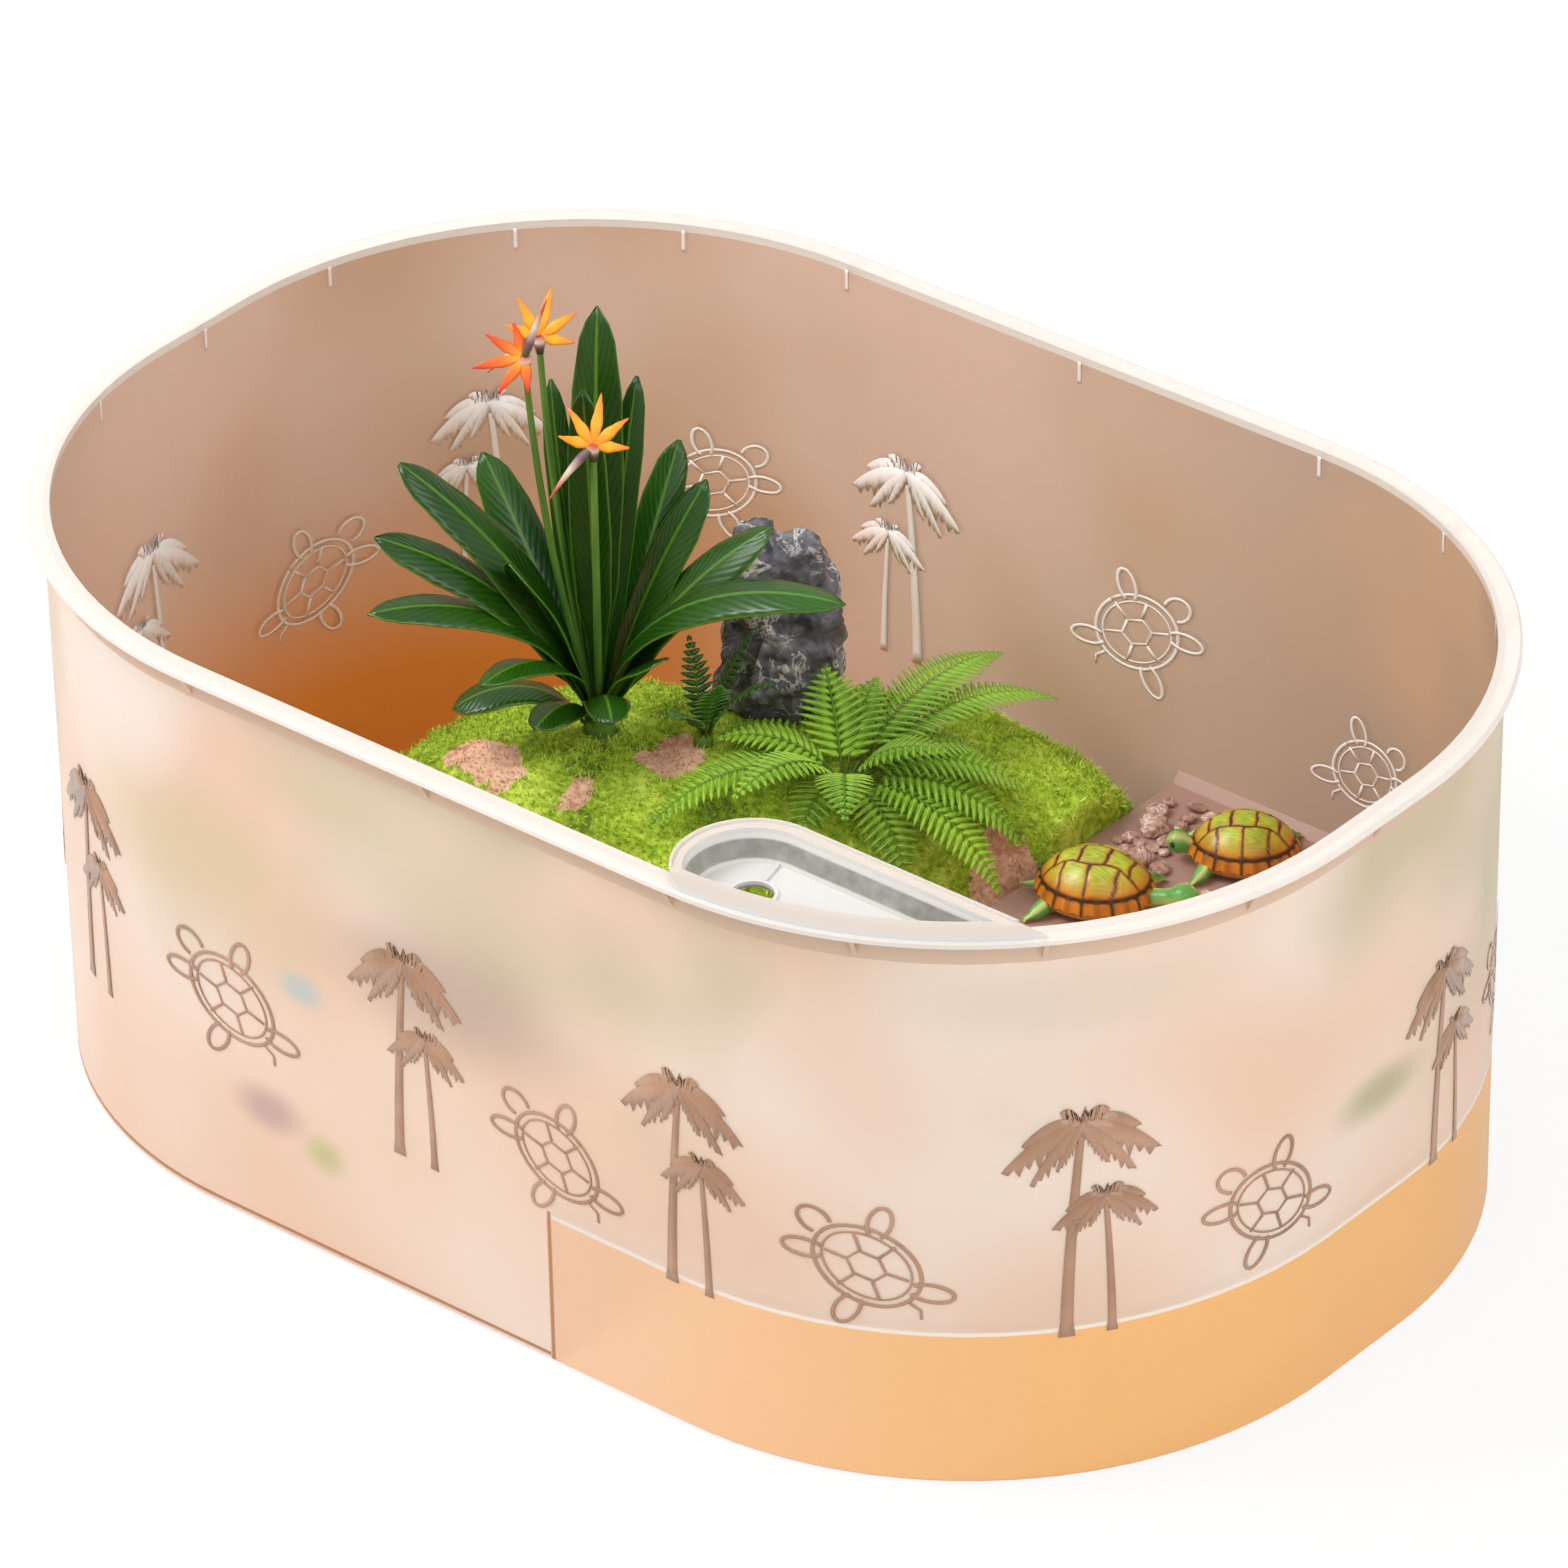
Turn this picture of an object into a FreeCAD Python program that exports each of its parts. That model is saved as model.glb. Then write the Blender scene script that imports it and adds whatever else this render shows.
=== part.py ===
import FreeCAD, Part
import math
import os
from FreeCAD import Placement, Rotation, Vector

# Turtle tank: an oval drafted tub with a deep pool and a raised land floor,
# a basking tray hung on the rim, and the landscape that stands in the pool.
# Millimetres and degrees. +X runs along the tub towards the land end, +Z is up,
# and the origin is the middle of the footprint at the level the tub stands on.

# Tub
tub_length = 440.0
tub_width = 300.0
tub_height = 182.0
end_straight = 35.0
wall = 2.2
wall_draft = 1.5
floor_thickness = 2.2
rim_overhang = 4.6
rim_thickness = 2.0
rim_edge_bevel = 0.7
base_bevel = 1.5
inside_bevel = 3.0
step_x = 38.0
land_floor_z = 52.0

# Gussets under the rim
gusset_height = 6.8
gusset_thickness = 1.4
gusset_corner_angles = (15.0, 42.0, 65.0)

# Basking tray
tray_clearance = 0.4
tray_from_end = 118.0
tray_reach = 41.5
tray_end_radius = 20.0
tray_depth = 9.5
tray_wall = 1.2
tray_draft = 3.0
tray_lip = 2.4
tray_hanger = 1.5
tray_rim_inset = 0.9
tray_bead = 0.8
drain_radius = 6.0
drain_ring = 1.0
tray_rib = 0.9
tray_rib_height = 0.8
tray_rib_angles = (4.0, 104.0, 188.0, 230.0)

# Moss island, placed from the riser and from the rim's far edge
island_from_step = 89.0
island_from_back = 105.0
island_turn = 38.0
island_half_length = 118.0
island_half_width = 58.0
island_height = 78.0
island_sides = 26
seat_gap = 0.3
# Each level: height as a share of the island's, and plan size as a share of the base's.
island_levels = (
    (0.0, 0.94), (0.35, 1.0), (0.62, 0.97), (0.8, 0.87), (0.91, 0.72), (0.97, 0.52), (1.0, 0.3), (1.0, 0.06),
)
lump_share = 0.04
lump_height = 2.2
lump_pitch = 43.0

# Stones: height share and size share of each outline, from the foot up
stone_levels = ((0.0, 0.82), (0.38, 1.0), (0.78, 0.8), (1.0, 0.42))
stone_twist = 0.35
stone_waver = 0.14

# Standing rock
rock_width = 30.0
rock_depth_share = 0.86
rock_height = 66.0
rock_sink = 4.0
# Each peak: place from the island's centre, height share, and a number that varies it.
rock_peaks = ((-6.5, 19.0, 1.0, 0.5), (3.0, 27.0, 0.92, 2.1), (-1.0, 20.0, 0.62, 4.0))

# Broad leaf plant, placed from the island's centre
plant_place = (-33.0, -22.0)
peg_radius = 5.0
peg_depth = 12.0
peg_stand = 2.5
leaf_thickness = 0.9
leaf_cup = 0.22
# Share of the length, and share of the width there.
leaf_profile = ((0.0, 0.16), (0.16, 0.28), (0.38, 0.86), (0.6, 1.0), (0.82, 0.92), (0.95, 0.62), (1.0, 0.16))
# Each leaf: direction in plan, rise, length, width, arch as a share of length, roll.
broad_leaves = (
    (119, 85, 134, 18.0, 0.03, 0),
    (-63, 86, 118, 14.0, 0.02, 0),
    (163, 79, 108, 11.0, 0.03, -50),
    (89, 80, 110, 11.0, 0.05, 30),
    (-132, 60, 108, 19.0, 0.12, -35),
    (-174, 65, 88, 17.0, 0.08, -35),
    (-124, 50, 98, 19.0, 0.15, -25),
    (-112, 40, 92, 18.0, 0.20, -10),
    (-86, 38, 66, 15.0, 0.20, 0),
    (84, 68, 88, 15.0, 0.05, 35),
    (60, 66, 82, 16.0, 0.07, 25),
    (36, 54, 84, 19.0, 0.12, 25),
    (14, 38, 98, 19.0, 0.24, 15),
    (-130, 14, 40, 18.0, 0.26, 0),
    (-86, 26, 30, 16.0, 0.26, 0),
    (-42, 34, 34, 16.0, 0.26, 0),
    (-8, 52, 44, 15.0, 0.12, 0),
    (-100, 66, 74, 18.0, 0.04, 0),
)
stem_radius = 1.1
stem_bow = 0.16
stem_steps = 6
# Each flower: its stem's top from the crown, the beak's direction and rise,
# and the petals' direction, rise and roll.
flowers = (
    ((-6.0, -21.0, 127.0), (40, 70), (-132, -8, -57)),
    ((-18.0, -1.0, 120.0), (-150, -40), (103, 55, 22)),
    ((18.0, -20.0, 106.0), (-118, -46), (112, 56, 15)),
)
collar_radius = 1.8
collar_length = 4.0
beak_length = 20.0
petal_length = 17.0
petal_width = 4.2
petal_thickness = 0.6
petal_turns = (-84, -42, 0, 42, 84)

# Ferns, placed from the island's centre
fern_place = (39.0, 3.0)
frond_thickness = 0.7
frond_rib = 1.4
frond_bare = 0.16
frond_facets = 3
pinna_slant = 0.45
pinna_fill = 0.72
fern_pinna_count = 8
# Each frond: direction in plan, rise, length, width, arch as a share of length.
fern_fronds = (
    (142, 49, 34, 18.0, 0.10),
    (85, 13, 67, 18.0, 0.16),
    (70, 4, 72, 16.0, 0.18),
    (54, 6, 40, 17.0, 0.20),
    (39, -4, 52, 17.0, 0.20),
    (22, -13, 54, 17.0, 0.22),
    (3, -18, 57, 17.0, 0.22),
    (-21, -23, 37, 16.0, 0.26),
    (-79, -6, 26, 14.0, 0.26),
    (-120, -1, 59, 17.0, 0.22),
    (-171, 5, 41, 15.0, 0.20),
)
small_fern_place = (-4.0, -9.0)
small_fern_pinna_count = 5
small_fronds = (
    (-30, 62, 30, 9.0, 0.08),
    (60, 66, 36, 9.0, 0.06),
    (15, 48, 32, 9.0, 0.12),
    (150, 70, 30, 8.0, 0.06),
    (-80, 44, 24, 8.0, 0.14),
)
fern_peg_radius = 3.0

# Turtle figures: node, distance from the riser and from the rim's far edge,
# heading, shell length, and how far the head is out
turtles = (
    ("turtle_walking", 22.5, 76.0, 22.0, 36.0, 9.0),
    ("turtle_resting", 43.0, 32.0, 214.0, 33.0, 3.0),
)
shell_width_share = 0.84
shell_height_share = 0.36
shell_base_share = 0.14
shell_sides = 16
shell_turns = (24, 46, 70)
belly_share = 0.78
leg_length_share = 0.26
leg_radius_share = 0.3
foot_share = 0.24
head_share = 0.46

# Pebbles on the land floor: distance from the riser and from the rim's far edge,
# width, and a number that varies each one
pebble_height_share = 0.42
pebbles = (
    (12, 112, 15, 0.3), (29, 104, 13, 1.1), (44, 95, 15, 2.0), (59, 84, 13, 3.2),
    (65, 70, 12, 4.1), (58, 58, 13, 5.0), (19, 51, 11, 0.9), (76, 48, 13, 2.6),
    (79, 64, 12, 1.7), (28, 122, 12, 5.6), (62, 100, 12, 4.6), (12, 35, 12, 2.2),
)


def polar(radius, degrees):
    """Point of the XY plane at this radius and direction."""
    angle = math.radians(degrees)
    return Vector(radius * math.cos(angle), radius * math.sin(angle), 0)


def turned(direction, rise, roll=0.0):
    """Rotation that aims local +X along a direction in plan and a rise."""
    lift = Rotation(Vector(0, 1, 0), -rise) * Rotation(Vector(1, 0, 0), roll)
    return Rotation(Vector(0, 0, 1), direction) * lift


def placed(shape, base, rotation):
    """The shape turned about the origin and then moved to its base."""
    copy = shape.copy()
    copy.Placement = Placement(base, rotation)
    return copy


def facet_loft(outlines):
    """Solid skinned with flat triangles between outlines of equal point count."""
    faces = []
    for outline in (outlines[0], outlines[-1]):
        faces.append(Part.Face(Part.makePolygon(outline + outline[:1])))
    for low, high in zip(outlines, outlines[1:]):
        for index, corner in enumerate(low):
            after = (index + 1) % len(low)
            faces.append(Part.Face(Part.makePolygon([corner, low[after], high[after], corner])))
            faces.append(Part.Face(Part.makePolygon([corner, high[after], high[index], corner])))
    shell = Part.makeShell(faces)
    shell.sewShape()
    solid = Part.makeSolid(shell)
    if solid.Volume < 0:
        solid.reverse()
    return solid


def rod(points, radii, sides=6):
    """Faceted round bar along points, with a radius at each."""
    outlines = []
    for index, point in enumerate(points):
        ahead = points[min(index + 1, len(points) - 1)] - points[max(index - 1, 0)]
        turn = Rotation(Vector(0, 0, 1), ahead)
        corners = [turn.multVec(polar(radii[index], 360 * side / sides)) for side in range(sides)]
        outlines.append([point + corner for corner in corners])
    return facet_loft(outlines)


corner_radius = (tub_width - end_straight) / 2
corner_x = tub_length / 2 - corner_radius
corner_y = end_straight / 2


def plan_wire(inset, z):
    """The tub's outline in plan, moved in from the rim's edge."""
    arcs = []
    for sign_x, sign_y, start in ((1, -1, -90), (1, 1, 0), (-1, 1, 90), (-1, -1, 180)):
        centre = Vector(sign_x * corner_x, sign_y * corner_y, z)
        arcs.append([centre + polar(corner_radius - inset, start + turn) for turn in (0, 45, 90)])
    edges = []
    for index, arc in enumerate(arcs):
        edges.append(Part.Arc(*arc).toShape())
        edges.append(Part.makeLine(arc[2], arcs[(index + 1) % 4][0]))
    return Part.Wire(edges)


def plan_block(inset_low, inset_high, z_low, z_high):
    """Solid between two outlines of the tub."""
    return Part.makeLoft([plan_wire(inset_low, z_low), plan_wire(inset_high, z_high)], True, True)


def wall_inset(z):
    """How far the wall's outer face lies inside the rim's edge at this height."""
    return rim_overhang + wall_draft * (1 - z / tub_height)


def inner_block(z_low, z_high, inset_low=0.0, inset_high=0.0):
    """Everything inside the wall between two heights, less an inset at each."""
    low = wall_inset(z_low) + wall + inset_low
    high = wall_inset(z_high) + wall + inset_high
    return plan_block(low, high, z_low, z_high)


def slab(x_low, x_high):
    """Box over the whole tub between two X values."""
    corner = Vector(x_low, -tub_width, -tub_height)
    return Part.makeBox(x_high - x_low, 2 * tub_width, 4 * tub_height, corner)


def level_edges(shape, z):
    """Edges that lie flat at this height."""
    flat = []
    for edge in shape.Edges:
        box = edge.BoundBox
        if abs(box.ZMin - z) < 0.01 and abs(box.ZMax - z) < 0.01:
            flat.append(edge)
    return flat


def at_step(edge):
    """Whether an edge lies in the plane of the step between the floors."""
    box = edge.BoundBox
    return abs(box.XMin - step_x) < 0.01 and abs(box.XMax - step_x) < 0.01


def pool():
    """The deep part below the land floor, bevelled along its floor."""
    block = inner_block(floor_thickness, land_floor_z).common(slab(-tub_length, step_x))
    return block.makeChamfer(inside_bevel, level_edges(block, floor_thickness))


def land():
    """The space over the land floor, bevelled where the floor meets the wall."""
    block = inner_block(land_floor_z, tub_height).common(slab(step_x, tub_length))
    edges = [edge for edge in level_edges(block, land_floor_z) if not at_step(edge)]
    return block.makeChamfer(inside_bevel, edges)


def gusset_stations():
    """Centre and direction of each gusset, measured round the tub."""
    stations = []
    for side in (-1, 1):
        for count in (-1, 0, 1):
            stations.append((Vector(count * corner_x, side * corner_y, 0), 90 * side))
        stations.append((Vector(side * corner_x, 0, 0), 90 - 90 * side))
    for sign_x in (-1, 1):
        for sign_y in (-1, 1):
            for angle in gusset_corner_angles:
                outward = polar(1, angle)
                heading = math.degrees(math.atan2(sign_y * outward.y, sign_x * outward.x))
                stations.append((Vector(sign_x * corner_x, sign_y * corner_y, 0), heading))
    return stations


def gusset(centre, heading):
    """Small triangular web between the wall and the underside of the rim."""
    top = tub_height - rim_thickness
    face = corner_radius - rim_overhang
    root = face - wall / 2
    foot = top - gusset_height
    outline = ((root, top), (corner_radius - rim_edge_bevel, top), (face, foot), (root, foot))
    corners = [Vector(x, -gusset_thickness / 2, z) for x, z in outline]
    web = Part.Face(Part.makePolygon(corners + corners[:1])).extrude(Vector(0, gusset_thickness, 0))
    return placed(web, centre, turned(heading, 0))


def make_tub():
    """One moulding: drafted wall, two floors joined by a riser, flat rim and gussets."""
    body = plan_block(wall_inset(0), wall_inset(tub_height), 0, tub_height)
    body = body.makeChamfer(base_bevel, level_edges(body, 0))
    rim = plan_block(0, 0, tub_height - rim_thickness, tub_height)
    rim = rim.makeChamfer(rim_edge_bevel, level_edges(rim, tub_height))
    body = body.multiFuse([rim] + [gusset(*station) for station in gusset_stations()])
    over_pool = inner_block(land_floor_z, tub_height).common(slab(-tub_length, step_x))
    under_land = inner_block(0, land_floor_z - floor_thickness).common(slab(step_x + wall, tub_length))
    return body.cut([pool(), over_pool, land(), under_land]).removeSplitter()


tray_end = Vector(tub_length / 2 - tray_from_end, tray_reach - tray_end_radius - tub_width / 2, 0)


def slot_wire(radius, z):
    """Round-ended outline of the tray, run out past the tub's wall."""
    end = Vector(tray_end.x, tray_end.y, z)
    far = end + Vector(0, radius, 0)
    near = end - Vector(0, radius, 0)
    run = Vector(tub_length, 0, 0)
    round_end = Part.Arc(near, end - Vector(radius, 0, 0), far).toShape()
    sides = Part.makePolygon([far, far + run, near + run, near])
    return Part.Wire([round_end] + sides.Edges)


def slot_block(radius_low, radius_high, z_low, z_high):
    """Solid between two outlines of the tray."""
    return Part.makeLoft([slot_wire(radius_low, z_low), slot_wire(radius_high, z_high)], True, True)


def basin(inset, z_low, z_high):
    """Drafted body of the tray, moved in by an inset, between two heights."""
    bottom = tub_height - tray_depth
    low = inset + tray_draft * (tub_height - z_low) / (tub_height - bottom)
    high = inset + tray_draft * (tub_height - z_high) / (tub_height - bottom)
    slot = slot_block(tray_end_radius - low, tray_end_radius - high, z_low, z_high)
    return slot.common(inner_block(z_low, z_high, tray_clearance + low, tray_clearance + high))


def tray_ribs(z):
    """Low ribs on the tray's floor that run out from the drain."""
    ribs = []
    for angle in tray_rib_angles:
        rib = Part.makeBox(tub_length, tray_rib, tray_rib_height, Vector(drain_radius, -tray_rib / 2, 0))
        ribs.append(placed(rib, Vector(tray_end.x, tray_end.y, z), turned(angle, 0)))
    return Part.makeCompound(ribs).common(basin(tray_wall / 2, z, z + tray_rib_height))


def make_tray():
    """Shallow drafted tray with a drain, a lip, and a hanger that lies on the rim."""
    bottom = tub_height - tray_depth
    floor_z = bottom + tray_wall
    top = tub_height + tray_hanger
    lip_radius = tray_end_radius + tray_lip
    plate = slot_block(lip_radius, lip_radius, tub_height, top)
    plate = plate.common(plan_block(tray_rim_inset, tray_rim_inset, tub_height, top))
    bead = slot_block(lip_radius, lip_radius, top, top + tray_bead)
    bead = bead.cut(slot_block(lip_radius - tray_bead, lip_radius - tray_bead, top, top + tray_bead))
    bead = bead.common(inner_block(top, top + tray_bead, tray_clearance, tray_clearance))
    mouth_inset = tray_clearance + tray_wall
    throat_radius = tray_end_radius - tray_wall
    throat = slot_block(throat_radius, throat_radius, tub_height, top + tray_bead)
    throat = throat.common(inner_block(tub_height, top + tray_bead, mouth_inset, mouth_inset))
    under_drain = Vector(tray_end.x, tray_end.y, bottom)
    ring = Part.makeCylinder(drain_radius + drain_ring, tray_wall + tray_rib_height, under_drain)
    drain = Part.makeCylinder(drain_radius, tray_depth, under_drain)
    body = basin(0, bottom, tub_height).multiFuse([plate, bead])
    body = body.cut([basin(tray_wall, floor_z, tub_height), throat])
    body = body.multiFuse([ring, tray_ribs(floor_z)])
    return body.cut(drain).removeSplitter()


island_x = step_x - island_from_step
island_y = tub_width / 2 - island_from_back


def on_island(place):
    """Point in the tub's plan for a place given from the island's centre."""
    return Vector(island_x + place[0], island_y + place[1], 0)


def island_point(side, height, share):
    """Corner of the lumpy island for a side's number, a height share and a size share."""
    angle = 2 * math.pi * side / island_sides
    swell = 1 + lump_share * (math.sin(5 * angle + 4 * height) + math.sin(3 * angle + 1))
    x = island_half_length * share * swell * math.cos(angle)
    y = island_half_width * share * swell * math.sin(angle)
    wave = math.sin(2 * math.pi * x / lump_pitch) * math.cos(2 * math.pi * y / lump_pitch)
    fade = min(share - island_levels[-1][1], height) * height
    return Vector(x, y, island_height * height + lump_height * wave * fade)


def make_mound():
    """Domed lumpy island that stands on the pool's floor against the riser."""
    outlines = []
    for height, share in island_levels:
        outlines.append([island_point(side, height, share) for side in range(island_sides)])
    base = Vector(island_x, island_y, floor_thickness)
    mound = placed(facet_loft(outlines), base, turned(island_turn, 0))
    over_pool = inner_block(land_floor_z, tub_height).common(slab(-tub_length, step_x))
    room = pool().fuse(over_pool)
    room.translate(Vector(-seat_gap, 0, 0))
    return mound.common(room)


def surface_z(shape, x, y):
    """Height of a solid's top over this point."""
    probe = Part.makeLine(Vector(x, y, 0), Vector(x, y, 2 * tub_height))
    return shape.common(probe).BoundBox.ZMax


def stone(width, depth, height, variety, sides=7):
    """Angular stone on z = 0, made of flat facets between uneven outlines."""
    outlines = []
    for level, (share, size) in enumerate(stone_levels):
        outline = []
        for side in range(sides):
            angle = 2 * math.pi * (side + stone_twist * math.sin(level + variety)) / sides
            reach = size * (1 + stone_waver * math.sin(2.7 * side + 1.9 * level + variety))
            x = width / 2 * reach * math.cos(angle)
            outline.append(Vector(x, depth / 2 * reach * math.sin(angle), height * share))
        outlines.append(outline)
    return facet_loft(outlines)


def bow(length, arch, share):
    """Point and upward normal on an arc over a chord along +X."""
    sag = arch * length
    radius = (length ** 2 / 4 + sag ** 2) / (2 * sag)
    half_turn = math.asin(length / 2 / radius)
    angle = half_turn * (2 * share - 1)
    point = Vector(length / 2 + radius * math.sin(angle), 0, radius * (math.cos(angle) - math.cos(half_turn)))
    return point, Vector(math.sin(angle), 0, math.cos(angle))


def leaf(length, width, arch, thickness=leaf_thickness):
    """Blade with a creased midrib, chord along +X, bowed towards +Z, with sharp margins."""
    outlines = []
    for share, width_share in leaf_profile:
        middle, normal = bow(length, arch, share)
        half = width * width_share / 2
        margin = Vector(0, half, 0)
        under = middle - normal * (leaf_cup * half + thickness / 2)
        over = middle - normal * (leaf_cup * half - thickness / 2)
        outlines.append([middle + margin, under, middle - margin, over])
    return facet_loft(outlines)


def stem_points(start, end):
    """Points from the crown to a flower on a curve bowed outwards."""
    run = end - start
    control = start + run * 0.5 + Vector(run.x, run.y, 0) * 2 * stem_bow
    points = []
    for step in range(stem_steps + 1):
        share = step / stem_steps
        first = start * (1 - share) ** 2
        points.append(first + control * (2 * share * (1 - share)) + end * share ** 2)
    return points


def make_broad_plant(base):
    """Peg, crown, leaves and flower stems, moulded as one."""
    peg_foot = Vector(0, 0, peg_depth - seat_gap)
    body = Part.makeCylinder(peg_radius, peg_depth - seat_gap, base - peg_foot)
    body = body.fuse(Part.makeCone(peg_radius, peg_radius * 0.7, 2 * peg_stand, base))
    start = base + Vector(0, 0, peg_stand)
    for place, _, _ in flowers:
        body = body.fuse(rod(stem_points(start, start + Vector(*place)), [stem_radius] * (stem_steps + 1)))
    for direction, rise, length, width, arch, roll in broad_leaves:
        root = start + polar(peg_radius * (1 - rise / 100), direction)
        body = body.fuse(placed(leaf(length, width, arch), root, turned(direction, rise, roll)))
    return body


def make_flower(base, place, beak_aim, petal_aim):
    """Collar on the stem's end, a long beak, and a fan of pointed petals."""
    start = base + Vector(0, 0, peg_stand)
    path = stem_points(start, start + Vector(*place))
    lean = (path[-1] - path[-2]).normalize()
    hub = path[-1] + lean * collar_length
    collar = rod([path[-1], hub, hub + lean * collar_radius],
                 [collar_radius, collar_radius * 1.25, collar_radius * 0.4])
    along = turned(*beak_aim).multVec(Vector(1, 0, 0))
    pieces = [rod([hub, hub + along * beak_length / 3, hub + along * beak_length],
                  [collar_radius * 1.1, collar_radius, 0.25])]
    for turn in petal_turns:
        swing = turned(*petal_aim) * Rotation(Vector(0, 0, 1), turn)
        length = petal_length * (1 - abs(turn) / 250)
        pieces.append(placed(leaf(length, petal_width, 0.06, petal_thickness), hub, swing))
    return collar.multiFuse(pieces)


def frond(length, width, arch, pinnae):
    """Comb of slanted pinnae on a rib, chord along +X, bowed towards +Z."""
    pitch = length * (1 - frond_bare) / pinnae
    side = [Vector(0, frond_rib / 2, 0)]
    for count in range(pinnae):
        root = length * frond_bare + count * pitch
        share = (count + 0.5) / pinnae
        reach = width / 2 * math.sin(math.pi * (0.12 + 0.86 * share) ** 0.8)
        side.append(Vector(root, frond_rib / 2, 0))
        side.append(Vector(root + pitch / 2 + reach * pinna_slant, frond_rib / 2 + reach, 0))
        side.append(Vector(root + pitch * pinna_fill, frond_rib / 2, 0))
    side.append(Vector(length, 0.1, 0))
    other = [Vector(point.x, -point.y, 0) for point in reversed(side)]
    outline = Part.Face(Part.makePolygon(side + other + side[:1]))
    column = outline.extrude(Vector(0, 0, length))
    column.translate(Vector(0, 0, -frond_thickness))
    top = []
    under = []
    for facet in range(frond_facets + 1):
        point, _ = bow(length, arch, facet / frond_facets)
        top.append(point - Vector(0, width, 0))
        under.append(point - Vector(0, width, frond_thickness))
    band = Part.Face(Part.makePolygon(top + under[::-1] + top[:1])).extrude(Vector(0, 2 * width, 0))
    return column.common(band)


def make_fern(base, fronds, pinnae):
    """Crown of arching fronds on a peg."""
    peg_foot = Vector(0, 0, peg_depth - seat_gap)
    body = Part.makeCylinder(fern_peg_radius, peg_depth - seat_gap, base - peg_foot)
    body = body.fuse(Part.makeCone(fern_peg_radius, fern_peg_radius * 0.7, 1.6 * peg_stand, base))
    for direction, rise, length, width, arch in fronds:
        root = base + polar(fern_peg_radius / 2, direction) + Vector(0, 0, peg_stand)
        body = body.fuse(placed(frond(length, width, arch, pinnae), root, turned(direction, rise)))
    return body


def oval(length, width, z):
    """Points of an oval outline at a height."""
    points = []
    for count in range(shell_sides):
        angle = 2 * math.pi * (count + 0.5) / shell_sides
        points.append(Vector(length / 2 * math.cos(angle), width / 2 * math.sin(angle), z))
    return points


def make_turtle(from_step, from_back, heading, length, head_out):
    """Turtle facing +X on the land floor: domed shell, belly, legs, head and tail."""
    width = length * shell_width_share
    rim_z = length * shell_base_share
    outlines = [oval(belly_share * length, belly_share * width, rim_z * 0.3), oval(length, width, rim_z)]
    for turn in shell_turns:
        angle = math.radians(turn)
        size = math.cos(angle)
        top = rim_z + length * shell_height_share * math.sin(angle)
        outlines.append(oval(length * size, width * size, top))
    leg = length * leg_length_share
    thick = leg * leg_radius_share
    sole = leg * foot_share
    pieces = []
    for direction in (40, -40, 142, -142):
        hip = polar(0.3 * length, direction) + Vector(0, 0, rim_z * 0.8)
        foot = polar(0.3 * length + leg, direction) + Vector(0, 0, sole)
        toe = polar(0.3 * length + leg * 1.2, direction) + Vector(0, 0, sole / 2)
        pieces.append(rod([hip, foot, toe], [thick, sole, sole / 2]))
    tip = 0.5 * length + head_out
    neck = Vector(0.36 * length, 0, rim_z)
    nape = Vector(tip - leg * head_share, 0, rim_z * 1.2)
    crown = Vector(tip, 0, rim_z * 1.35)
    snout = Vector(tip + leg * head_share, 0, rim_z * 1.2)
    pieces.append(rod([neck, nape, crown, snout], [thick, thick, leg * head_share, thick / 2], 8))
    rear = Vector(-0.45 * length, 0, rim_z * 0.8)
    pieces.append(rod([rear, rear + Vector(-leg * 0.8, 0, -rim_z * 0.3)], [thick / 2, thick / 8]))
    figure = facet_loft(outlines).multiFuse(pieces)
    place = Vector(step_x + from_step, tub_width / 2 - from_back, land_floor_z)
    return placed(figure, place, turned(heading, 0))


def make_rock(mound):
    """Standing stone of joined peaks with its foot fitted to the island's top."""
    peaks = []
    for x, y, height_share, variety in rock_peaks:
        foot = on_island((x, y))
        foot.z = surface_z(mound, foot.x, foot.y) - rock_sink
        peak = stone(rock_width, rock_width * rock_depth_share, rock_height * height_share, variety)
        peaks.append(placed(peak, foot, turned(island_turn, 0)))
    return peaks[0].multiFuse(peaks[1:]).cut(mound)


def make_pebbles():
    """Loose angular stones that lie on the land floor."""
    stones = []
    for from_step, from_back, width, variety in pebbles:
        place = Vector(step_x + from_step, tub_width / 2 - from_back, land_floor_z)
        pebble = stone(width, width * 0.8, width * pebble_height_share, variety, 6)
        stones.append(placed(pebble, place, turned(variety * 60, 0)))
    return Part.makeCompound(stones)


def standing_place(mound, place):
    """Point on the island's top where a plant stands."""
    point = on_island(place)
    point.z = surface_z(mound, point.x, point.y)
    return point


def socket(base, radius):
    """Hole in the island that takes a plant's peg."""
    return Part.makeCylinder(radius + seat_gap, 2 * peg_depth, base - Vector(0, 0, peg_depth))


def export(node, shape):
    """Write one node and print what it holds."""
    solids = shape.Solids
    print(node, "valid", shape.isValid(), "solids", len(solids), "volume", round(shape.Volume))
    result = solids[0] if len(solids) == 1 else Part.makeCompound(solids)
    result.exportStep("parts/" + node + ".step")


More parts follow.
